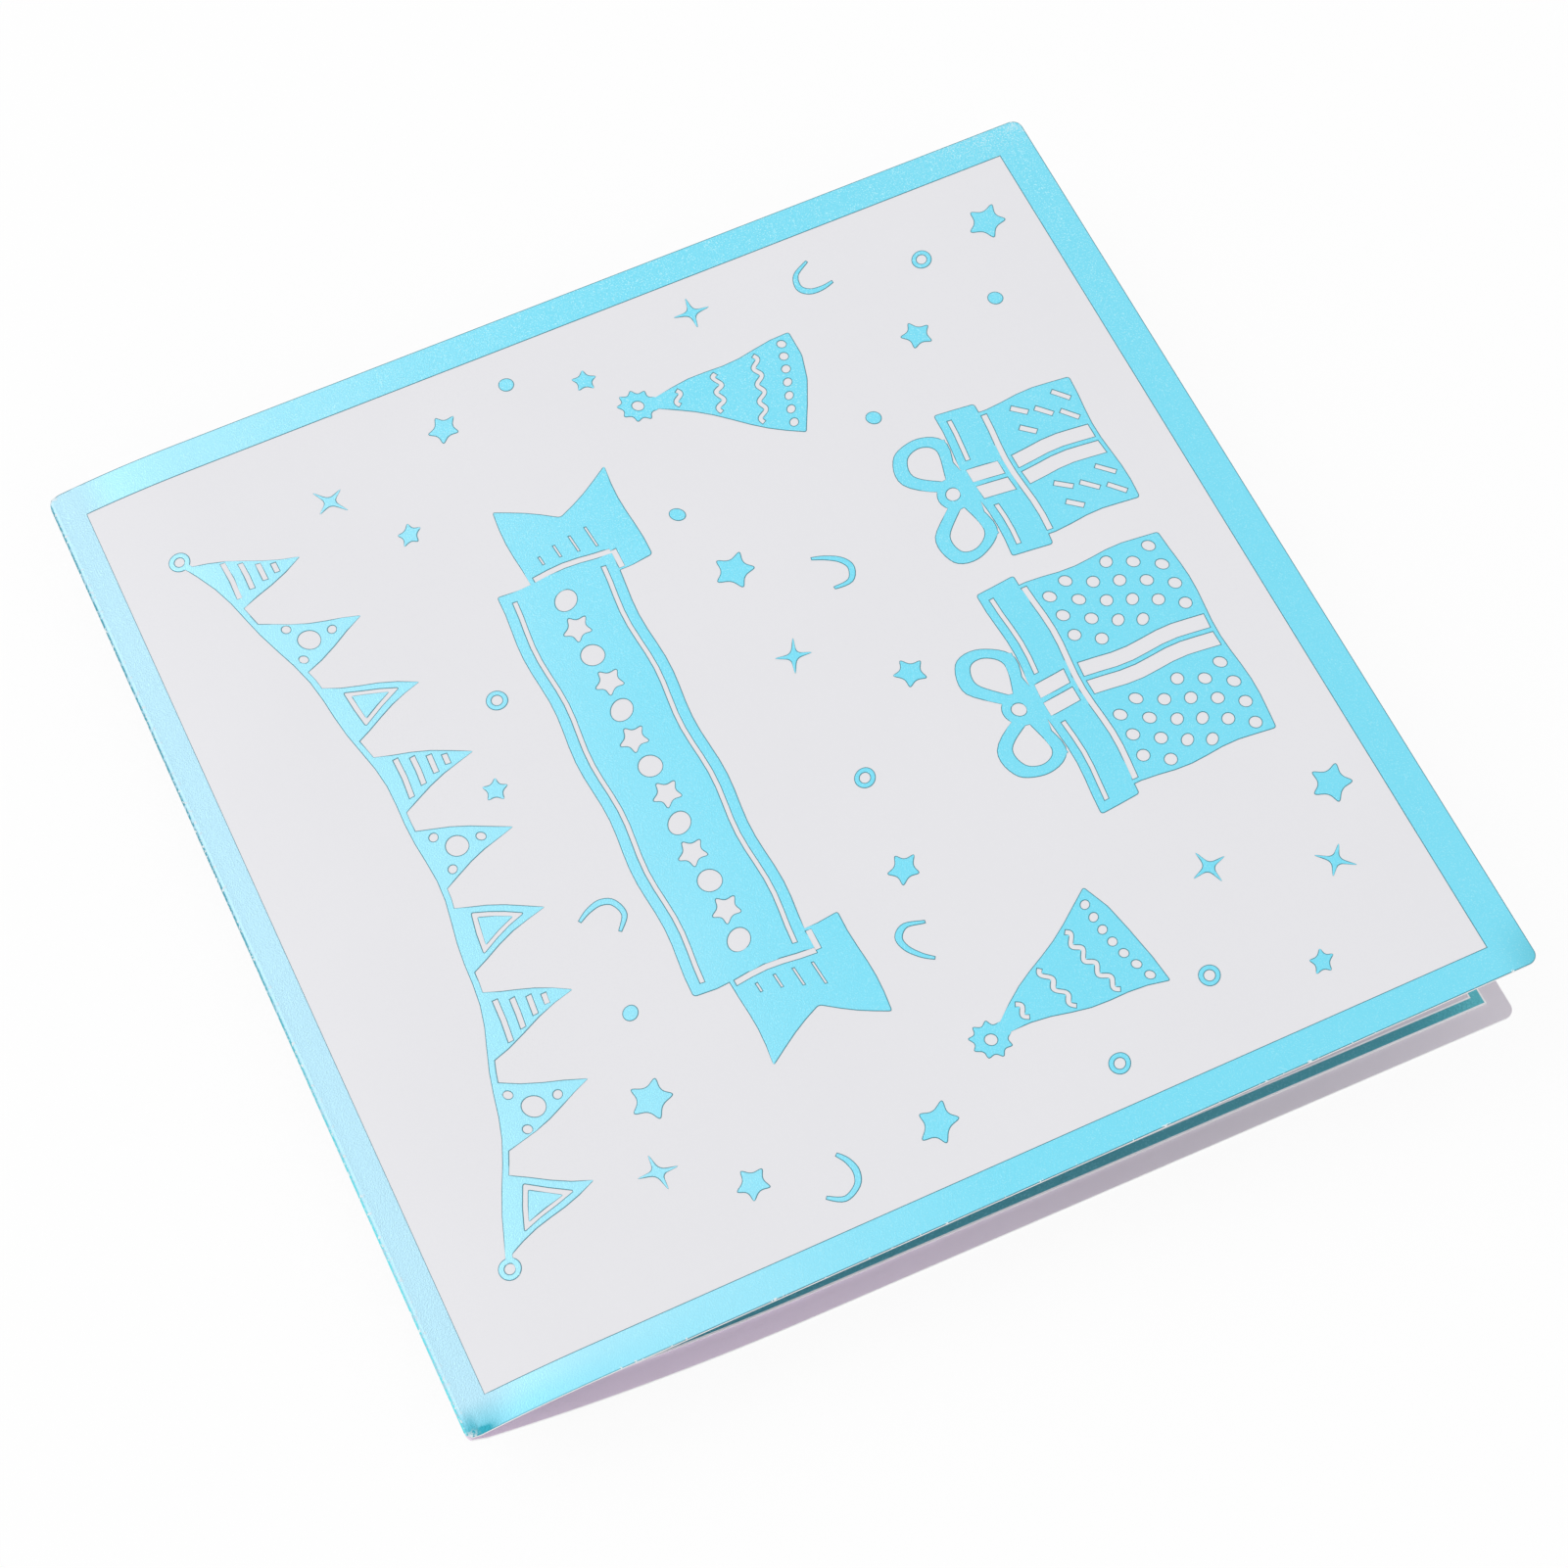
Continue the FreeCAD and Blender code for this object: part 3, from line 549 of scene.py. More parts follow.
banner_bottom, banner_top = BANNER_MIDDLE - BANNER_HEIGHT / 2, BANNER_MIDDLE + BANNER_HEIGHT / 2
filled = [rounded(rectangle(-BANNER_HALF, BANNER_HALF, banner_bottom, banner_top), SOFT_CORNER)]
bare = []
for level in (banner_bottom + TRIM_INSET, banner_top - TRIM_INSET):
    bare.append(rectangle(
        -BANNER_HALF + TRIM_END, BANNER_HALF - TRIM_END, level - TRIM_HALF, level + TRIM_HALF))
for side in (-1, 1):
    inner, outer = side * (BANNER_HALF - TAIL_OVERLAP), side * (BANNER_HALF + TAIL)
    filled.append(rounded([
        (inner, banner_bottom - TAIL_DROP), (outer, banner_bottom - TAIL_DROP),
        (outer - side * NOTCH, BANNER_MIDDLE - TAIL_DROP), (outer, banner_top - TAIL_DROP),
        (inner, banner_top - TAIL_DROP)], SOFT_CORNER))
    line, under = side * (BANNER_HALF + FOLD_HALF), banner_bottom - FOLD_HALF
    bare.append(rectangle(
        line - FOLD_HALF, line + FOLD_HALF, banner_bottom, banner_top - TAIL_DROP - FOLD_END))
    bare.append(stroke([(side * (BANNER_HALF - FOLD_START), under), (line, under)], 2 * FOLD_HALF))
    for number in range(HATCHES):
        start = side * (BANNER_HALF + HATCH_INSET)
        end = start + side * (HATCH_LENGTH - HATCH_LOSS * number)
        level = banner_bottom + HATCH_FOOT + HATCH_STEP * number
        bare.append(stroke([(start, level), (end, level)], HATCH_WIDTH, tapered=True))
for number in range(-3, 4):
    bare.append(disc(BANNER_HALF * number * 2 / BANNER_DOTS, BANNER_MIDDLE, BANNER_DOT))
for number in range(-3, 3):
    bare.append(star(BANNER_HALF * (2 * number + 1) / BANNER_DOTS, BANNER_MIDDLE, BANNER_STAR))
banner = stamp("banner_stamping", "banner_foil", filled, bare)

# %% [markdown]
# Two gift boxes stand near the free edge. Both come from one function: a box with a pattern, a
# lid that is a little wider, a bare ribbon with a foil line down its middle, and a bow. The box
# runs up under the lid, so that no sharp crevice is left for the rim to tangle in.

# %% Gift boxes
GIFT_FOOT, LID, OVERHANG, RIBBON = -61, 6, 1.6, 5
GIFT_MARGIN, LID_GAP = 0.7, 0.8
STRIP_SHIFT, STRIP_INNER, STRIP_OUTER, STRIP_TOP = 0.25, 0.2, 0.1, 1.5
KNOT_RISE, KNOT, KNOT_SHIFT = 2.2, 2.5, 0.3
KNOT_EYE, KNOT_EYE_SHIFT = 1.0, 0.5
LOOP, LOOP_HALF, LOOP_STEPS, LOOP_RETURN = 10.5, 4.6, 6, 0.6
LOOP_EYE, LOOP_EYE_HALF, LOOP_EYE_SHIFT, LOOP_EYE_RISE = 6.3, 2.5, 2.6, 0.9
BOW_TAIL = ((5, 1.2), (8.5, 0.9))
BOW_TAIL_WIDTH = 1.3
LID_LINE, LID_LINE_END = (1.9, 1.3), 1.6
FIRST_ROW, ROW_STEP, ROW_MARGIN = 2.3, 3.2, 1.5
FIRST_COLUMN, COLUMN_STEP, COLUMN_MARGIN, PATTERN_EDGE = 2.6, 3.4, 1.2, 1.6
GIFT_DOT, GIFT_DASH, GIFT_DASH_WIDTH, EYE_CORNERS = 0.85, (0.9, 1.0), 0.7, 16


def petal(start, reach, half_width):
    """Loop of a bow: it leaves the knot narrow, swells and comes back round."""
    sideways, upward = start
    return smooth_path([
        (sideways, upward), (sideways + reach * 0.45, upward + half_width * 1.35),
        (sideways + reach * 0.9, upward + half_width * 1.25),
        (sideways + reach, upward + half_width * 0.35),
        (sideways + reach * 0.72, upward - half_width * 0.45),
        (sideways, upward - LOOP_RETURN)], LOOP_STEPS)


def gift_pattern(centre, side, half, height, dotted):
    """Bare dots or slanted dashes on one side of the ribbon; every other row is shifted."""
    marks = []
    span = half - RIBBON / 2 - COLUMN_MARGIN
    for row in range(int((height - ROW_MARGIN) / ROW_STEP)):
        level = GIFT_FOOT + FIRST_ROW + ROW_STEP * row
        for column in range(int(span / COLUMN_STEP) + 1):
            shift = COLUMN_STEP / 2 if row % 2 else 0
            place = centre + side * (RIBBON / 2 + FIRST_COLUMN + COLUMN_STEP * column + shift)
            if abs(place - centre) > half - PATTERN_EDGE:
                continue
            if dotted:
                marks.append(disc(place, level, GIFT_DOT, EYE_CORNERS))
            else:
                across, rise = GIFT_DASH
                marks.append(stroke(
                    [(place - across, level - rise), (place + across, level + rise)], GIFT_DASH_WIDTH))
    return marks


def gift_box(name, node, centre, width, height, dotted):
    half, box_top = width / 2, GIFT_FOOT + height
    lid_top = box_top + LID
    knot = (centre, lid_top + KNOT_RISE)
    filled = [
        rounded(rectangle(centre - half, centre + half, GIFT_FOOT, box_top + LID / 3), SOFT_CORNER),
        rounded(
            rectangle(centre - half - OVERHANG, centre + half + OVERHANG, box_top, lid_top), SOFT_CORNER),
    ]
    bare = [rectangle(centre - half + GIFT_MARGIN, centre + half - GIFT_MARGIN, box_top - LID_GAP, box_top)]
    for side in (-1, 1):
        filled.append(petal(knot, side * LOOP, LOOP_HALF))
        eye = (centre + side * LOOP_EYE_SHIFT, knot[1] + LOOP_EYE_RISE)
        bare.append(petal(eye, side * LOOP_EYE, LOOP_EYE_HALF))
        tail = [(centre, lid_top)] + [(centre + side * reach, lid_top + rise) for reach, rise in BOW_TAIL]
        filled.append(stroke(tail, BOW_TAIL_WIDTH))
        strip = centre + side * (RIBBON / 4 + STRIP_SHIFT)
        strip_left, strip_right = strip - RIBBON / 4 + STRIP_INNER, strip + RIBBON / 4 - STRIP_OUTER
        on_box = (GIFT_FOOT + GIFT_MARGIN, box_top - STRIP_TOP)
        on_lid = (box_top + GIFT_MARGIN, lid_top - GIFT_MARGIN)
        for low, high in (on_box, on_lid):
            bare.append(rectangle(strip_left, strip_right, low, high))
        line = centre + side * (half + OVERHANG + RIBBON / 2) / 2
        run = (half + OVERHANG - RIBBON / 2) / 2 - LID_LINE_END
        bare.append(rectangle(line - run, line + run, lid_top - LID_LINE[0], lid_top - LID_LINE[1]))
        bare += gift_pattern(centre, side, half, height, dotted)
    filled.append(disc(centre, knot[1] + KNOT_SHIFT, KNOT))
    bare.append(disc(centre, knot[1] + KNOT_EYE_SHIFT, KNOT_EYE, EYE_CORNERS))
    return stamp(name, node, filled, bare)


large_gift = gift_box("large_gift_stamping", "gift_foil_large", -13, 34, 21, True)
small_gift = gift_box("small_gift_stamping", "gift_foil_small", 21, 22, 14, False)

# %% [markdown]
# A party hat leans at either side of the gifts. Waves run across each cone, a puff of points
# stands for the pompom, and a row of beads trims the foot. A zigzag stroke would cross itself at
# its points, so the waves are gentle sines.

# %% Party hats
HAT_WIDTH, HAT_HEIGHT, HAT_SAG, HAT_CORNER = 17, 23, (0.9, 1.2), 0.4
WAVE, WAVE_STEPS, WAVE_SWING, WAVE_WIDTH, WAVE_MARGIN = 2.8, 8, 0.45, 0.6, 0.9
PUFF, PUFF_POINTS, PUFF_WAIST, PUFF_EYE = 3.0, 9, 0.68, 0.8
BEAD, BEAD_STEP, BEAD_RISE, BEAD_SAG = 0.62, 2.15, 1.7, 0.03


def party_hat(name, node, centre, middle, tilt):
    sine, cosine = math.sin(math.radians(tilt)), math.cos(math.radians(tilt))

    def place(sideways, upward):
        return (centre + sideways * cosine - upward * sine, middle + sideways * sine + upward * cosine)

    foot, peak = -HAT_HEIGHT / 2, HAT_HEIGHT / 2
    filled = [
        rounded([place(-HAT_WIDTH / 2, foot), place(-HAT_WIDTH / 4, foot - HAT_SAG[0]),
                 place(0, foot - HAT_SAG[1]), place(HAT_WIDTH / 4, foot - HAT_SAG[0]),
                 place(HAT_WIDTH / 2, foot), place(0, peak)], HAT_CORNER),
        star(*place(0, peak), PUFF, points=PUFF_POINTS, waist=PUFF_WAIST, turned=tilt),
    ]
    bare = [disc(*place(0, peak), PUFF_EYE, SMALL_DISC)]
    for number in range(3):
        share = (number + 1) / 4
        level, reach = foot + HAT_HEIGHT * share, HAT_WIDTH / 2 * (1 - share) - WAVE_MARGIN
        halves = round(4 * reach / WAVE)
        wave = []
        for step in range(WAVE_STEPS * halves + 1):
            along = -reach + reach * step / (WAVE_STEPS // 2 * halves)
            wave.append(place(along, level + WAVE_SWING * math.sin(math.pi * step / WAVE_STEPS)))
        bare.append(stroke(wave, WAVE_WIDTH))
    for number in range(-3, 4):
        bead = place(number * BEAD_STEP, foot + BEAD_RISE - BEAD_SAG * number ** 2)
        bare.append(disc(*bead, BEAD, SMALL_DISC))
    return stamp(name, node, filled, bare)


left_hat = party_hat("left_hat_stamping", "party_hat_foil_left", -51.75, -17.25, 14)
right_hat = party_hat("right_hat_stamping", "party_hat_foil_right", 50.25, -15.75, -16)

# %% [markdown]
# Confetti fills the space between the drawings. Stars of three sizes take turns, and the small
# pieces are dots, rings, four-pointed sparkles and curls, so that no two neighbours are alike.

# %% Confetti
STAR_PLACES = [
    (-60, 30), (-43.5, 36.75), (47.25, 32.25), (61.5, 21), (-62.25, 5.25), (60, 0), (-27.75, -6.75),
    (23.25, -6), (-63, -49.5), (47.25, -45), (60.75, -63), (6, 36.75), (-1.5, -20.25), (-40.5, -63),
]
SMALL_PLACES = [
    (-53.25, 39.75), (-31.5, 33.75), (-64.5, 18.75), (18, 31.5), (57, 39.75), (64.5, 10.5), (-37.5, -3),
    (-13.5, -8.25), (7.5, -7.5), (34.5, -2.25), (17.25, -18.75), (-58.5, -35.25), (-45, -42.75),
    (37.5, -33.75), (62.25, -35.25), (58.5, -51.75), (-51, -58.5), (48, -57.75), (-17.25, 30.75),
    (-64.5, -19.5), (64.5, -18),
]
STAR_SIZES, STAR_TURN = (2.6, 3.3, 2.0), 23
SPARKLE, SPARKLE_WAIST, SPARKLE_TURN = 3.0, 0.2, 9
CURL = ((0, 3.4), (50, 2.2), (120, 1.5), (190, 1.6), (240, 2.6), (262, 3.9))
CURL_WIDTH, CURL_TURN, CURL_STEPS = 1.0, 50, 5
DOT, RING, RING_EYE = 1.1, 1.5, 0.75


def curl(sideways, upward, turned):
    """Curled paper ribbon, from its angles and its distances from the middle."""
    path = []
    for angle, reach in CURL:
        way = math.radians(turned + angle)
        path.append((sideways + reach * math.cos(way), upward + reach * math.sin(way)))
    return stroke(smooth_path(path, CURL_STEPS), CURL_WIDTH, tapered=True)


filled, bare = [], []
for number, place in enumerate(STAR_PLACES):
    filled.append(star(*place, STAR_SIZES[number % 3], turned=number * STAR_TURN))
for number, place in enumerate(SMALL_PLACES):
    kind = number % 4
    if kind == 0:
        filled.append(star(*place, SPARKLE, points=4, waist=SPARKLE_WAIST, turned=number * SPARKLE_TURN))
    elif kind == 1:
        filled.append(disc(*place, DOT))
    elif kind == 2:
        filled.append(curl(*place, number * CURL_TURN))
    else:
        filled.append(disc(*place, RING))
        bare.append(disc(*place, RING_EYE, EYE_CORNERS))
confetti = stamp("confetti_stamping", "confetti_foil", filled, bare)
bpy.data.objects.remove(foil_sheet)

# %% [markdown]
# A finish is a small network of shader nodes. Written as nodes and links it is long and hard to
# read, so a small class lets Python's own signs do the arithmetic: adding two wires adds a Math
# node. Every other node comes from one method, which takes the settings and the socket values.

# %% Shader arithmetic


class Wire:
    """A number that varies over the surface: one output socket of a network's nodes."""

    def __init__(self, network, socket):
        self.network, self.socket = network, socket

    def combine(self, operation, first, second=0.0):
        return self.network.node("Math", {"operation": operation}, {0: first, 1: second}).wire()

    def __add__(self, other):
        return self.combine("ADD", self, other)

    def __sub__(self, other):
        return self.combine("SUBTRACT", self, other)

    def __mul__(self, other):
        return self.combine("MULTIPLY", self, other)

    def __radd__(self, other):
        return self.combine("ADD", other, self)

    def __rsub__(self, other):
        return self.combine("SUBTRACT", other, self)

    def __rmul__(self, other):
        return self.combine("MULTIPLY", other, self)

    def above(self, low, high):
        """0 under low, 1 over high, and smooth between."""
        return self.network.node(
            "MapRange", {"interpolation_type": "SMOOTHSTEP"},
            {"Value": self, "From Min": low, "From Max": high}).wire("Result")

    def size(self):
        return self.combine("ABSOLUTE", self)

    def or_more(self, other):
        return self.combine("MAXIMUM", self, other)


class Node:
    def __init__(self, network, node):
        self.network, self.node = network, node

    def wire(self, output=0):
        return Wire(self.network, self.node.outputs[output])


class Network:
    """The shader nodes of one material or world."""

    def __init__(self, owner):
        owner.use_nodes = True
        self.owner, self.tree = owner, owner.node_tree
        self.tree.nodes.clear()

    def node(self, kind, settings=None, sockets=None):
        made = self.tree.nodes.new("ShaderNode" + kind)
        for setting, value in (settings or {}).items():
            setattr(made, setting, value)
        for socket, value in (sockets or {}).items():
            if isinstance(value, Wire):
                self.tree.links.new(value.socket, made.inputs[socket])
            else:
                made.inputs[socket].default_value = value
        return Node(self, made)

    def output(self, kind, surface):
        self.node(kind, {}, {"Surface": surface})
        print(self.owner.name, "nodes:", len(self.tree.nodes))
        return self.owner


# %% A finish
MIX_SHARE, MIX_FIRST, MIX_SECOND, MIXED = 0, 6, 7, 2


class Finish(Network):
    """A material under construction; its patterns read Object coordinates."""

    def __init__(self, name):
        super().__init__(bpy.data.materials.new(name))
        self.place = self.node("TexCoord").wire("Object")

    def noise(self, per_metre, detail=2.0, stretch=(1, 1, 1)):
        """Noise from 0 to 1 with this many waves in a metre."""
        place = self.node("Mapping", {}, {"Vector": self.place, "Scale": stretch}).wire()
        return self.node(
            "TexNoise", {}, {"Vector": place, "Scale": per_metre, "Detail": detail}).wire("Fac")

    def mix(self, share, first, second):
        """Colour from first to second, which are colours or wires."""
        sockets = {MIX_SHARE: share, MIX_FIRST: first, MIX_SECOND: second}
        return self.node("Mix", {"data_type": "RGBA"}, sockets).wire(MIXED)

    def axis(self, name):
        return self.node("SeparateXYZ", {}, {0: self.place}).wire(name)

    def bump(self, height, distance):
        return self.node("Bump", {}, {"Height": height, "Distance": distance}).wire()

    def finish(self, **sockets):
        surface = self.node("BsdfPrincipled", {}, {
            name.replace("_", " "): value for name, value in sockets.items()}).wire()
        return self.output("OutputMaterial", surface)


def grey(value):
    return (value, value, value, 1)


def dress(piece, material):
    piece.data.materials.clear()
    piece.data.materials.append(material)


# %% [markdown]
# The cover is white board with a faint linen grain, calendered to a soft sheen. Two sine waves
# would make a grain too regular to believe, so two noises are stretched instead, one along each
# edge of the card, and they cross like threads. A slow third noise makes the white uneven by a
# hundredth or two, which is all that real board shows. Between the sheets the same board is
# painted duller and mauve, a painted shade, and beside the fold a painted rose tint stands for
# light that has bounced there between the sheets.

# %% Board
BOARD_WHITE, BOARD_SHADE = (0.815, 0.812, 0.84, 1), (0.785, 0.782, 0.812, 1)
INSIDE_WHITE_PAINTED_SHADE, INSIDE_SHADE = (0.78, 0.735, 0.795, 1), (0.75, 0.705, 0.765, 1)
PAINTED_BOUNCE_ROSE = (0.91, 0.755, 0.93, 1)
ROSE_FROM, ROSE_TO = -40 * MM, 45 * MM
LINEN, LINEN_STRETCH = 900, 0.12
CLOUDS, FIBRES = 45, 5200


def board_material(name, white, shade, grain_depth, roughness, bounce_tint=0.0):
    """White board or paper; a painted rose tint for bounced light fills the half by the fold this much."""
    paper = Finish(name)
    along = paper.noise(LINEN, 1.0, stretch=(LINEN_STRETCH, 1, 1))
    across = paper.noise(LINEN, 1.0, stretch=(1, LINEN_STRETCH, 1))
    linen = (along + across) * 0.5
    colour = paper.mix(paper.noise(CLOUDS, 3.0) * 0.7 + linen * 0.3, shade, white)
    if bounce_tint:
        colour = paper.mix((1 - paper.axis("X").above(ROSE_FROM, ROSE_TO)) * bounce_tint, colour, PAINTED_BOUNCE_ROSE)
    return paper.finish(
        Base_Color=colour, Roughness=roughness + (linen - 0.5) * 0.12,
        Normal=paper.bump(linen + paper.noise(FIBRES) * 0.35, grain_depth))


board = board_material("cover_board", BOARD_WHITE, BOARD_SHADE, 0.02 * MM, 0.52)
# The inside faces are the same board, painted duller and mauve: a painted shade.
board_inside_painted_shade = board_material(
    "cover_board_inside_painted_shade", INSIDE_WHITE_PAINTED_SHADE, INSIDE_SHADE, 0.03 * MM, 0.75, bounce_tint=0.72)
# The liner's paper takes the same painted shade, duller and mauve.
liner_paper = board_material("liner_paper", INSIDE_WHITE_PAINTED_SHADE, INSIDE_SHADE, 0.03 * MM, 0.7)

# %% [markdown]
# A guillotine leaves a rough edge: pale pressed fibres in thin layers. The cut faces get a finish
# of their own, whose noise is stretched along the edge and squeezed through the thickness. Its
# white is far above the board's: partly the fibres' own paleness and partly a painted highlight
# for the light that the thin edges catch. Faces are told apart by where they look: out sideways,
# inwards between the panels, or outwards.

# %% Cut edge
EDGE_SHADE, EDGE_WHITE_PAINTED_HIGHLIGHT = (0.89, 0.89, 0.90, 1), (0.97, 0.97, 0.98, 1)
LAYERS, TUFTS, LAYER_STRETCH = 9000, 2400, 0.05
SIDEWAYS_LOOK = 0.7

edge = Finish("cut_edge")
layers = edge.noise(LAYERS, stretch=(LAYER_STRETCH, LAYER_STRETCH, 1))
cut_edge = edge.finish(
    Base_Color=edge.mix(layers, EDGE_SHADE, EDGE_WHITE_PAINTED_HIGHLIGHT), Roughness=0.85,
    Normal=edge.bump(layers * 0.6 + edge.noise(TUFTS, 3.0) * 0.4, 0.03 * MM))


def dress_sheet(sheet, outside, inside, free_x):
    """One finish outside, one inside, and the cut edge on the faces that look out sideways."""
    for material in (outside, inside, cut_edge):
        sheet.data.materials.append(material)
    for face in sheet.data.polygons:
        beside = abs(face.normal.y) > SIDEWAYS_LOOK
        ahead = abs(face.normal.z) < SIDEWAYS_LOOK and face.center.x > free_x - CORNER_RADIUS
        inwards = face.normal.z * (roll_centre.z - face.center.z) > 0
        face.material_index = 2 if beside or ahead else 1 if inwards else 0


dress_sheet(cover, board, board_inside_painted_shade, HALF)
dress_sheet(liner, liner_paper, liner_paper, HALF - LINER_INSET)

# %% [markdown]
# Stamping foil is a metal film under a turquoise lacquer. The film repeats the board's grain, so
# it never mirrors cleanly: it glitters in fine specks, and pale specks are also painted into its
# colour as painted glints. A fully metallic shader goes dark wherever the room is dark, and a
# plastic one never glitters, so this finish is half way between them. A painted highlight pales
# the film towards the fold, where the panel curls into the light, a band of painted shade dims the
# curl right beside the fold, and the pressed rim is painted dark, a painted shade.

# %% Foil colours
FOIL_COLOUR, FOIL_PAINTED_HIGHLIGHT, FOIL_CURL_PAINTED_SHADE = (0.195, 0.715, 0.89, 1), (0.42, 0.79, 0.92, 1), (0.39, 0.64, 0.76, 1)
FOIL_PAINTED_GLINT, FOIL_RIM_PAINTED_SHADE = (0.60, 0.95, 1.0, 1), (0.02, 0.13, 0.17, 1)
SPECKS, SWEEP = 5600, 60
PALE_UNTIL, CURL_FROM, CURL_UNTIL = 85 * MM, 3 * MM, 10 * MM
LINE_FROM, LINE_UNTIL = 0.12 * MM, 0.24 * MM

foil = Finish("turquoise_foil")
specks, sweep = foil.noise(SPECKS, 1.0), foil.noise(SWEEP, 3.0)
from_fold, sideways = foil.axis("X") + HALF, foil.axis("Y")
painted_fold_highlight = 1 - from_fold.above(0.0, PALE_UNTIL)
# Painted highlight: the foil colour pales towards the fold.
colour = foil.mix(painted_fold_highlight * 0.9 + (sweep - 0.5) * 0.2, FOIL_COLOUR, FOIL_PAINTED_HIGHLIGHT)
# Painted shade: the curl within a few millimetres of the fold is dimmed.
colour = foil.mix(1 - from_fold.above(CURL_FROM, CURL_UNTIL), colour, FOIL_CURL_PAINTED_SHADE)
# Painted glints: pale specks, more of them on the far half and fewer near the fold.
glitter = (0.25 + sideways.above(0, HALF) * 0.4) * (1 - painted_fold_highlight * 0.4)
colour = foil.mix(specks.above(0.55, 0.70) * glitter, colour, FOIL_PAINTED_GLINT)
fold_line = 1 - from_fold.above(LINE_FROM, LINE_UNTIL)
rim = foil.node("Attribute", {"attribute_name": "rim"}).wire("Fac").above(0.1, 0.75)
# Painted shade: the pressed rim is coloured dark.
colour = foil.mix(rim * (1 - fold_line) * 0.9, colour, FOIL_RIM_PAINTED_SHADE)

# %% [markdown]
# At the near side the film is creased at both corners, and those corners are painted darker: a
# painted shade where the panel bends down there. Along the near edge by the fold, part of the
# painted paleness is taken back to the plain foil colour.
# Each mark is a product of ramps: one ramp says how near the edge is, another how near the fold.
# The outermost line of the fold is cracked, and noise breaks that line up.

# %% Foil painted darker at the near corners
FOIL_DEEP, FOIL_BRIGHT = (0.02, 0.34, 0.44, 1), (0.12, 0.78, 0.86, 1)
CREASES, CRACKS = 700, 1500

to_near = 0 - sideways
# Less painted highlight along the near edge beside the fold.
near_strip_less_highlight = to_near.above(70.5 * MM, 75 * MM) * (1 - from_fold.above(4 * MM, 45 * MM))
colour = foil.mix(near_strip_less_highlight * 0.6, colour, FOIL_COLOUR)
# Painted shade at the near end of the fold, broken up by the creases; the tip is darkest.
creased_corner_painted_shade = to_near.above(70.0 * MM, 74.6 * MM) * (1 - from_fold.above(0.6 * MM, 7 * MM))
tip = to_near.above(73.8 * MM, 74.6 * MM) * (1 - from_fold.above(1.5 * MM, 4.5 * MM))
# Painted shade at the near free corner.
near_free_corner_painted_shade = to_near.above(66 * MM, 76 * MM) * from_fold.above(144 * MM, 151 * MM)
creases = foil.noise(CREASES, 3.0, stretch=(1, 0.4, 1))
colour = foil.mix(creased_corner_painted_shade * (0.3 + creases * 1.1) + tip + near_free_corner_painted_shade * 0.45, colour, FOIL_DEEP)
cracks = foil.noise(CRACKS, 4.0)
cracked_line = foil.mix(sideways.above(-50 * MM, 10 * MM), FOIL_BRIGHT, FOIL_DEEP)
colour = foil.mix(fold_line * cracks.above(0.40, 0.48), colour, cracked_line)

# %% [markdown]
# Where the film is rubbed off, white board shows, and it is dull and not metallic. That happens
# along the fold, at its ends, at the far free corner and in small nicks along the near cut edge.
# Taking the greatest of these masks keeps each one's strength where two of them meet.

# %% Foil rubbed off
WORN_WHITE = (0.86, 0.92, 0.94, 1)
SCUFFS, SCRATCHES, NICKS = 2100, 3800, 1300

fold_wear = cracks.above(0.58, 0.64) * (1 - from_fold.above(0.2 * MM, 0.9 * MM))
end_wear = sideways.size().above(73.6 * MM, 74.8 * MM) * (1 - from_fold.above(0.5 * MM, 2.0 * MM))
corner_wear = sideways.above(73.0 * MM, 74.9 * MM) * from_fold.above(147 * MM, 150 * MM)
rub = end_wear.or_more(corner_wear) * foil.noise(SCUFFS, 3.0).above(0.42, 0.55)
far_corner = sideways.above(68 * MM, 75 * MM) * from_fold.above(125 * MM, 150 * MM) * 0.5
scratched = far_corner * foil.noise(SCRATCHES).above(0.54, 0.62)
nicks = to_near.above(74.68 * MM, 74.82 * MM) * foil.noise(NICKS, 3.0).above(0.64, 0.68)
worn = fold_wear.or_more(rub).or_more(scratched).or_more(nicks)
turquoise_foil = foil.finish(
    Base_Color=foil.mix(worn * 0.85, colour, WORN_WHITE), Metallic=0.55 * (1 - worn),
    Roughness=0.34 + sweep * 0.08 + worn * 0.4,
    Normal=foil.bump(specks + creased_corner_painted_shade * creases * 2.0 + worn * 0.5, 0.05 * MM))
stampings = [border, garland, banner, large_gift, small_gift, left_hat, right_hat, confetti]
for stamping in stampings:
    dress(stamping, turquoise_foil)

# %% [markdown]
# The foil frame on the inner sheet lies in the shade of the front, where a metal film mirrors
# little light. It gets a more metallic finish whose colour is painted deeper, a painted shade, and
# deeper still towards the free edge. Fine pale lines are painted along the frame's two borders, a
# painted highlight: a distance from the frame's middle finds them.

# %% Foil inside
FRAME_WIDTH = 1.8 * MM
PAINTED_LINE_WIDTH = 0.28 * MM
INSIDE_FOIL_PAINTED_SHADE, INSIDE_GLINT = (0.14, 0.55, 0.62, 1), (0.22, 0.66, 0.74, 1)
INSIDE_DEEPER_PAINTED_SHADE, PAINTED_HIGHLIGHT_WHITE = (0.06, 0.34, 0.40, 1), (0.97, 0.98, 0.99, 1)
GLINTS = 3600

shaded = Finish("turquoise_foil_inside_painted_shade")
frame_middle = HALF - LINER_INSET - FRAME_WIDTH / 2
off_middle = (shaded.axis("Y").size() - frame_middle).or_more(shaded.axis("X") - frame_middle).size()
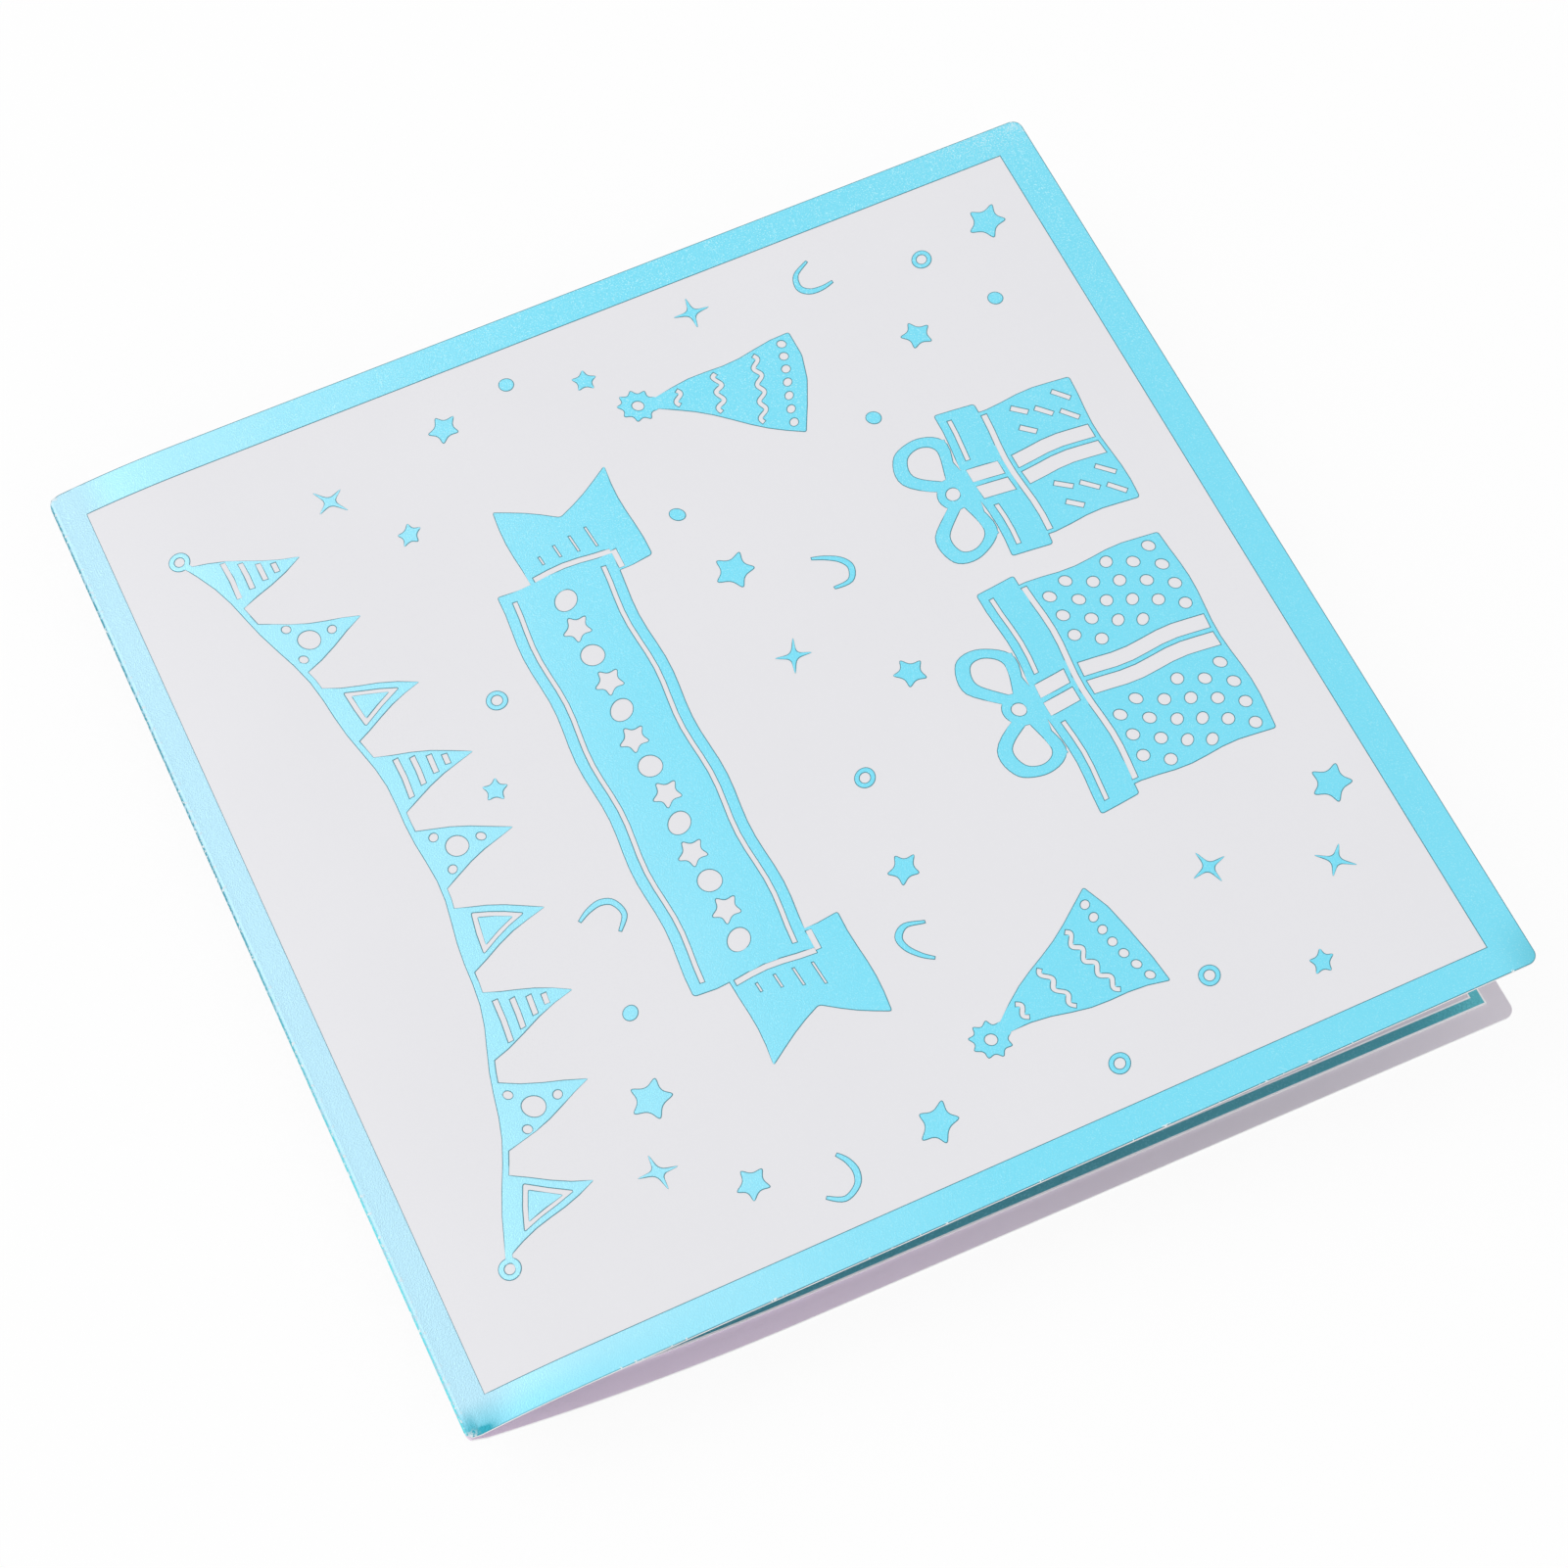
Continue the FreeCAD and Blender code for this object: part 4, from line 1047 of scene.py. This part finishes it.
# Painted highlight: fine pale lines along both borders of the frame.
painted_highlight_line = off_middle.above(FRAME_WIDTH / 2 - PAINTED_LINE_WIDTH, FRAME_WIDTH / 2 - PAINTED_LINE_WIDTH * 0.6)
glints = shaded.noise(GLINTS, 1.0)
colour = shaded.mix(glints.above(0.5, 0.8), INSIDE_FOIL_PAINTED_SHADE, INSIDE_GLINT)
# Painted shade: the frame is darker towards the free edge.
colour = shaded.mix(shaded.axis("X").above(30 * MM, 74 * MM) * 0.5, colour, INSIDE_DEEPER_PAINTED_SHADE)
foil_inside_painted_shade = shaded.finish(
    Base_Color=shaded.mix(painted_highlight_line, colour, PAINTED_HIGHLIGHT_WHITE), Metallic=0.85 * (1 - painted_highlight_line),
    Roughness=0.36 + painted_highlight_line * 0.3, Normal=shaded.bump(glints, 0.04 * MM))

# %% [markdown]
# Inside the card the measured solids are right as they are. The folded boxes and the bow are
# coloured paper: a soft mottle, a little tooth, and a pattern of stripes in a paler tint, as on
# printed pop-up paper.

# %% Paper of the pop-up
BOX_BLUE, BOX_PALE = (0.34, 0.70, 0.82, 1), (0.80, 0.90, 0.93, 1)
BOW_SHADE, BOW_WHITE = (0.82, 0.84, 0.87, 1), (0.90, 0.91, 0.92, 1)
MOTTLE, TOOTH = 260, 4200


def pop_up_paper(name, deep, pale, stripes_per_metre):
    paper = Finish(name)
    wave = paper.node(
        "TexWave", {"wave_type": "BANDS", "bands_direction": "Y", "wave_profile": "SIN"},
        {"Vector": paper.place, "Scale": stripes_per_metre, "Distortion": 0.0}).wire("Fac")
    mottle = paper.noise(MOTTLE, 4.0)
    return paper.finish(
        Base_Color=paper.mix(wave.above(0.7, 0.76) * 0.8 + mottle * 0.2, deep, pale),
        Roughness=0.62 + mottle * 0.12, Normal=paper.bump(paper.noise(TOOTH), 0.03 * MM))


box_paper = pop_up_paper("box_paper", BOX_BLUE, BOX_PALE, 26)
bow_paper = pop_up_paper("bow_paper", BOW_SHADE, BOW_WHITE, 80)
KEPT = {
    "liner_frame_foil": foil_inside_painted_shade, "box_tier_1": box_paper, "box_tier_2": box_paper,
    "box_tier_3": box_paper, "bow": bow_paper,
}
for node, material in KEPT.items():
    dress(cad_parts[node], material)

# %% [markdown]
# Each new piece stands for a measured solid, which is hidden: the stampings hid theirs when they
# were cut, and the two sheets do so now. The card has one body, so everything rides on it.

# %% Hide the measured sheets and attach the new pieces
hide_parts("cover")
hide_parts("liner")
new_pieces = {"cover_board": [cover], "liner_paper": [liner], "turquoise_foil": stampings}
for slot, pieces in new_pieces.items():
    for piece in pieces:
        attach(piece, "root")
    print(slot, "pieces:", len(pieces))

# %% [markdown]
# The photograph has a plain white ground. A floor lit to pure white would need far too much
# light on the card, so the floor mixes its own shaded white with a plain glow that only the
# camera and glossy rays see. The share of shaded white that is left keeps a soft shadow there.

# %% Floor
FLOOR_SIZE, FLOOR_GAP = 6.0, 0.02 * MM
FLOOR_WHITE, FLOOR_GLOW = 0.95, 0.9

bpy.ops.object.select_all(action="DESELECT")
bpy.ops.mesh.primitive_plane_add(size=FLOOR_SIZE, location=(0, 0, -FLOOR_GAP))
floor = bpy.context.object
floor.name = "floor"
bpy.ops.object.transform_apply(location=True)

ground = Finish("floor_white")
rays = ground.node("LightPath")
seen = rays.wire("Is Camera Ray").or_more(rays.wire("Is Glossy Ray"))
matte = ground.node("BsdfDiffuse", {}, {"Color": grey(FLOOR_WHITE)}).wire()
glow = ground.node("Emission", {}, {"Color": grey(1.0), "Strength": 1.0}).wire()
blend = ground.node("MixShader", {}, {0: seen * FLOOR_GLOW, 1: matte, 2: glow}).wire()
dress(floor, ground.output("OutputMaterial", blend))

# %% [markdown]
# Soft light comes from all round, brighter at the upper left. The room is a white world that
# lights the card at a plain level, while camera, glossy and transmission rays see it at full
# white. One wide lamp beyond the fold brightens the curl, and a weak one fills the near side.

# %% World and lamps
WORLD_LIGHT = 0.74
LAMPS = {
    "softbox_beyond_fold": ((-1.10, 0.90, 1.30), 1.8, 11.5),
    "softbox_near": ((0.4, -1.1, 1.2), 1.2, 3.0),
}

world = bpy.data.worlds.new("white_room")
bpy.context.scene.world = world
room = Network(world)
rays = room.node("LightPath")
straight = rays.wire("Is Camera Ray").or_more(rays.wire("Is Glossy Ray"))
seen = straight.or_more(rays.wire("Is Transmission Ray"))
strength = WORLD_LIGHT + seen * (1 - WORLD_LIGHT)
sky = room.node("Background", {}, {"Color": grey(1.0), "Strength": strength}).wire()
room.output("OutputWorld", sky)

for name, (place, side, watts) in LAMPS.items():
    aim = (-Vector(place)).to_track_quat("-Z", "Y").to_euler()
    bpy.ops.object.light_add(type="AREA", location=place, rotation=aim)
    lamp = bpy.context.object
    lamp.name = name
    lamp.data.shape = "SQUARE"
    lamp.data.size = side
    lamp.data.energy = watts
    print(name, "watts:", watts)

bpy.context.scene.view_settings.view_transform = "Standard"

# %% [markdown]
# Looks never move a measured part.

# %% Finish
bpy.context.view_layer.update()
